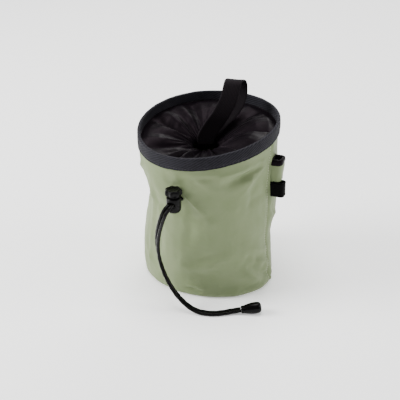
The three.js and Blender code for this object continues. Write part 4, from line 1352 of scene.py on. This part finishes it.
def button_head():
    foot, (x, y) = head_foot_and_axis()
    turn = np.linspace(0, math.tau, HEAD_LOBES * 16, endpoint=False)
    waves = 0.5 - 0.5 * np.cos(HEAD_LOBES * turn)
    rows = []
    for out, up in HEAD_PROFILE:
        radius = out * HEAD_RADIUS - HEAD_SCALLOP * waves * max(0, out - 0.5) * 2
        ring = [x + radius * np.cos(turn), y + radius * np.sin(turn), foot + up * HEAD_HEIGHT + 0 * turn]
        rows.append(np.stack(ring, -1))
    skin("button_head", rows, satin_acetal, caps=True, body=BUTTON)


keep_below(lock_stem, head_foot_and_axis()[0] + STEM_INTO_HEAD)
button_head()
print("button foot and middle in mm:", head_foot_and_axis())

# %% [markdown]
# Stitches repeat along a line, so Geometry Nodes make them. The tree takes a curve, spreads points
# along it at the stitch spacing, puts a small bead of thread on each point, turned along the curve,
# and then makes the beads real geometry with the thread's material. The curve itself is read off the
# finished surface, a hair above the cloth.

# %% The stitch tree
def stitch_tree():
    tree = bpy.data.node_groups.new("stitches", "GeometryNodeTree")
    sockets = tree.interface
    sockets.new_socket("Line", in_out="INPUT", socket_type="NodeSocketGeometry")
    for name in ("Spacing", "Stitch Length", "Thread Width"):
        sockets.new_socket(name, in_out="INPUT", socket_type="NodeSocketFloat")
    sockets.new_socket("Thread", in_out="INPUT", socket_type="NodeSocketMaterial")
    sockets.new_socket("Stitches", in_out="OUTPUT", socket_type="NodeSocketGeometry")
    given = add(tree, "NodeGroupInput").outputs
    points = add(tree, "GeometryNodeResampleCurve", {"Curve": given["Line"], "Length": given["Spacing"]},
                 mode="LENGTH")
    bead = add(tree, "GeometryNodeMeshUVSphere", {"Segments": 6, "Rings": 4, "Radius": 0.5})
    size = add(tree, "ShaderNodeCombineXYZ", {
        "X": given["Stitch Length"], "Y": given["Thread Width"], "Z": given["Thread Width"]})
    heading = add(tree, "GeometryNodeInputTangent")
    turned = add(tree, "FunctionNodeAlignRotationToVector", {"Vector": heading.outputs[0]}, axis="X")
    placed = add(tree, "GeometryNodeInstanceOnPoints", {
        "Points": points.outputs[0], "Instance": bead.outputs["Mesh"],
        "Rotation": turned.outputs[0], "Scale": size.outputs[0]})
    real = add(tree, "GeometryNodeRealizeInstances", {0: placed.outputs[0]})
    smooth = add(tree, "GeometryNodeSetShadeSmooth", {0: real.outputs[0]})
    dyed = add(tree, "GeometryNodeSetMaterial", {0: smooth.outputs[0], "Material": given["Thread"]})
    add(tree, "NodeGroupOutput", {0: dyed.outputs[0]})
    return tree


stitches = stitch_tree()
print("stitch inputs:", [item.name for item in stitches.interface.items_tree])

# %% Sew along a line
def sew(name, line, spacing, thread_width, material, closed=False):
    """A row of stitches along points in millimetres, as a plain mesh."""
    curve = bpy.data.curves.new(name + "_line", "CURVE")
    curve.dimensions = "3D"
    spline = curve.splines.new("POLY")
    spline.points.add(len(line) - 1)
    for point, (x, y, z) in zip(spline.points, line):
        point.co = (x * MM, y * MM, z * MM, 1)
    spline.use_cyclic_u = closed
    guide = bpy.data.objects.new(name + "_line", curve)
    bpy.context.scene.collection.objects.link(guide)
    sewing = guide.modifiers.new("stitches", "NODES")
    sewing.node_group = stitches
    values = {"Spacing": spacing * MM, "Stitch Length": 0.72 * spacing * MM,
              "Thread Width": thread_width * MM, "Thread": material}
    for item in stitches.interface.items_tree:
        if item.name in values:
            sewing[item.identifier] = values[item.name]
    graph = bpy.context.evaluated_depsgraph_get()
    mesh = bpy.data.meshes.new_from_object(guide.evaluated_get(graph), depsgraph=graph)
    bpy.data.objects.remove(guide)
    bpy.data.curves.remove(curve)
    mesh.name = name
    return finished(name, mesh, material)


def line_on_band(up, out=0.12):
    around = np.linspace(0, math.tau, 240, endpoint=False)
    return ring_at(around, RIM_RADIUS - GROOVE + out, band_foot(around) + up)


def line_on_wall(azimuth, low, high, offset, out=0.1):
    """A line up the wall, some millimetres of cloth beside an azimuth."""
    turn = azimuth + math.degrees(offset / RIM_RADIUS)
    a = math.radians(turn)
    line = []
    for z in np.linspace(low, high, 60):
        r = wall_radius(turn, z) + out
        line.append((r * math.cos(a), r * math.sin(a), z))
    return line


THREAD_WIDTH = 0.42
BAND_STITCH = 2.6
SEAM_STITCH = 2.4
STITCHES_FROM_SEAM = -3.9
SEAM_FOOT = 6
SEAM_TOP = 130

band_line = line_on_band(STITCH_UP)
seam_line = line_on_wall(SEAM_AZIMUTH, SEAM_FOOT, SEAM_TOP, STITCHES_FROM_SEAM)
band_stitches = sew("band_stitches", band_line, BAND_STITCH, THREAD_WIDTH, charcoal_thread,
                    closed=True)
seam_stitches = sew("seam_stitches", seam_line, SEAM_STITCH, THREAD_WIDTH, sage_thread)
print("stitch faces:", len(band_stitches.data.polygons), len(seam_stitches.data.polygons))

# %% [markdown]
# Last, the studio: a plain pale floor and soft light. The photograph is lit from the left and from
# above by a large soft source, with the white surroundings filling the shadows. Large area lights do
# the same here, and a bright plain world stands for the white room.

# %% Floor and lights
FLOOR_HALF = 6.0
FLOOR_GLOW = 0.35
WORLD_LIGHT = 0.32
WHITE = (1, 1, 1, 1)
LIGHTS = [
    # name, place and target in metres, size in metres, power in watts
    ("key_left", (-1.35, -0.1, 0.75), (0, 0, 0.08), 0.8, 37),
    ("top", (-0.1, 0.25, 1.6), (0, 0, 0.05), 1.0, 30),
    ("back", (0.35, 1.3, 0.95), (0, 0, 0.13), 0.6, 8),
    ("fill_right", (1.3, -0.1, 0.6), (0, 0, 0.08), 0.7, 12),
]

floor_material = surface_of("pale_floor", Roughness=0.9, Base_Color=linear("#fbfbfa"),
                            Emission_Color=WHITE, Emission_Strength=FLOOR_GLOW)[0]
floor_mesh = bpy.data.meshes.new("floor")
floor_mesh.from_pydata([(-FLOOR_HALF, -FLOOR_HALF, 0), (FLOOR_HALF, -FLOOR_HALF, 0),
                        (FLOOR_HALF, FLOOR_HALF, 0), (-FLOOR_HALF, FLOOR_HALF, 0)], [], [(0, 1, 2, 3)])
floor_mesh.materials.append(floor_material)
floor = bpy.data.objects.new("floor", floor_mesh)
bpy.context.scene.collection.objects.link(floor)


def soft_light(name, place, target, size, power):
    data = bpy.data.lights.new(name, "AREA")
    data.shape = "DISK"
    data.size = size
    data.energy = power
    light = bpy.data.objects.new(name, data)
    light.location = place
    heading = Vector(target) - Vector(place)
    light.rotation_euler = heading.to_track_quat("-Z", "Y").to_euler()
    bpy.context.scene.collection.objects.link(light)


for light_row in LIGHTS:
    soft_light(*light_row)
world = bpy.data.worlds.new("white_room")
world.use_nodes = True
background = world.node_tree.nodes["Background"]
background.inputs["Color"].default_value = WHITE
background.inputs["Strength"].default_value = WORLD_LIGHT
bpy.context.scene.world = world
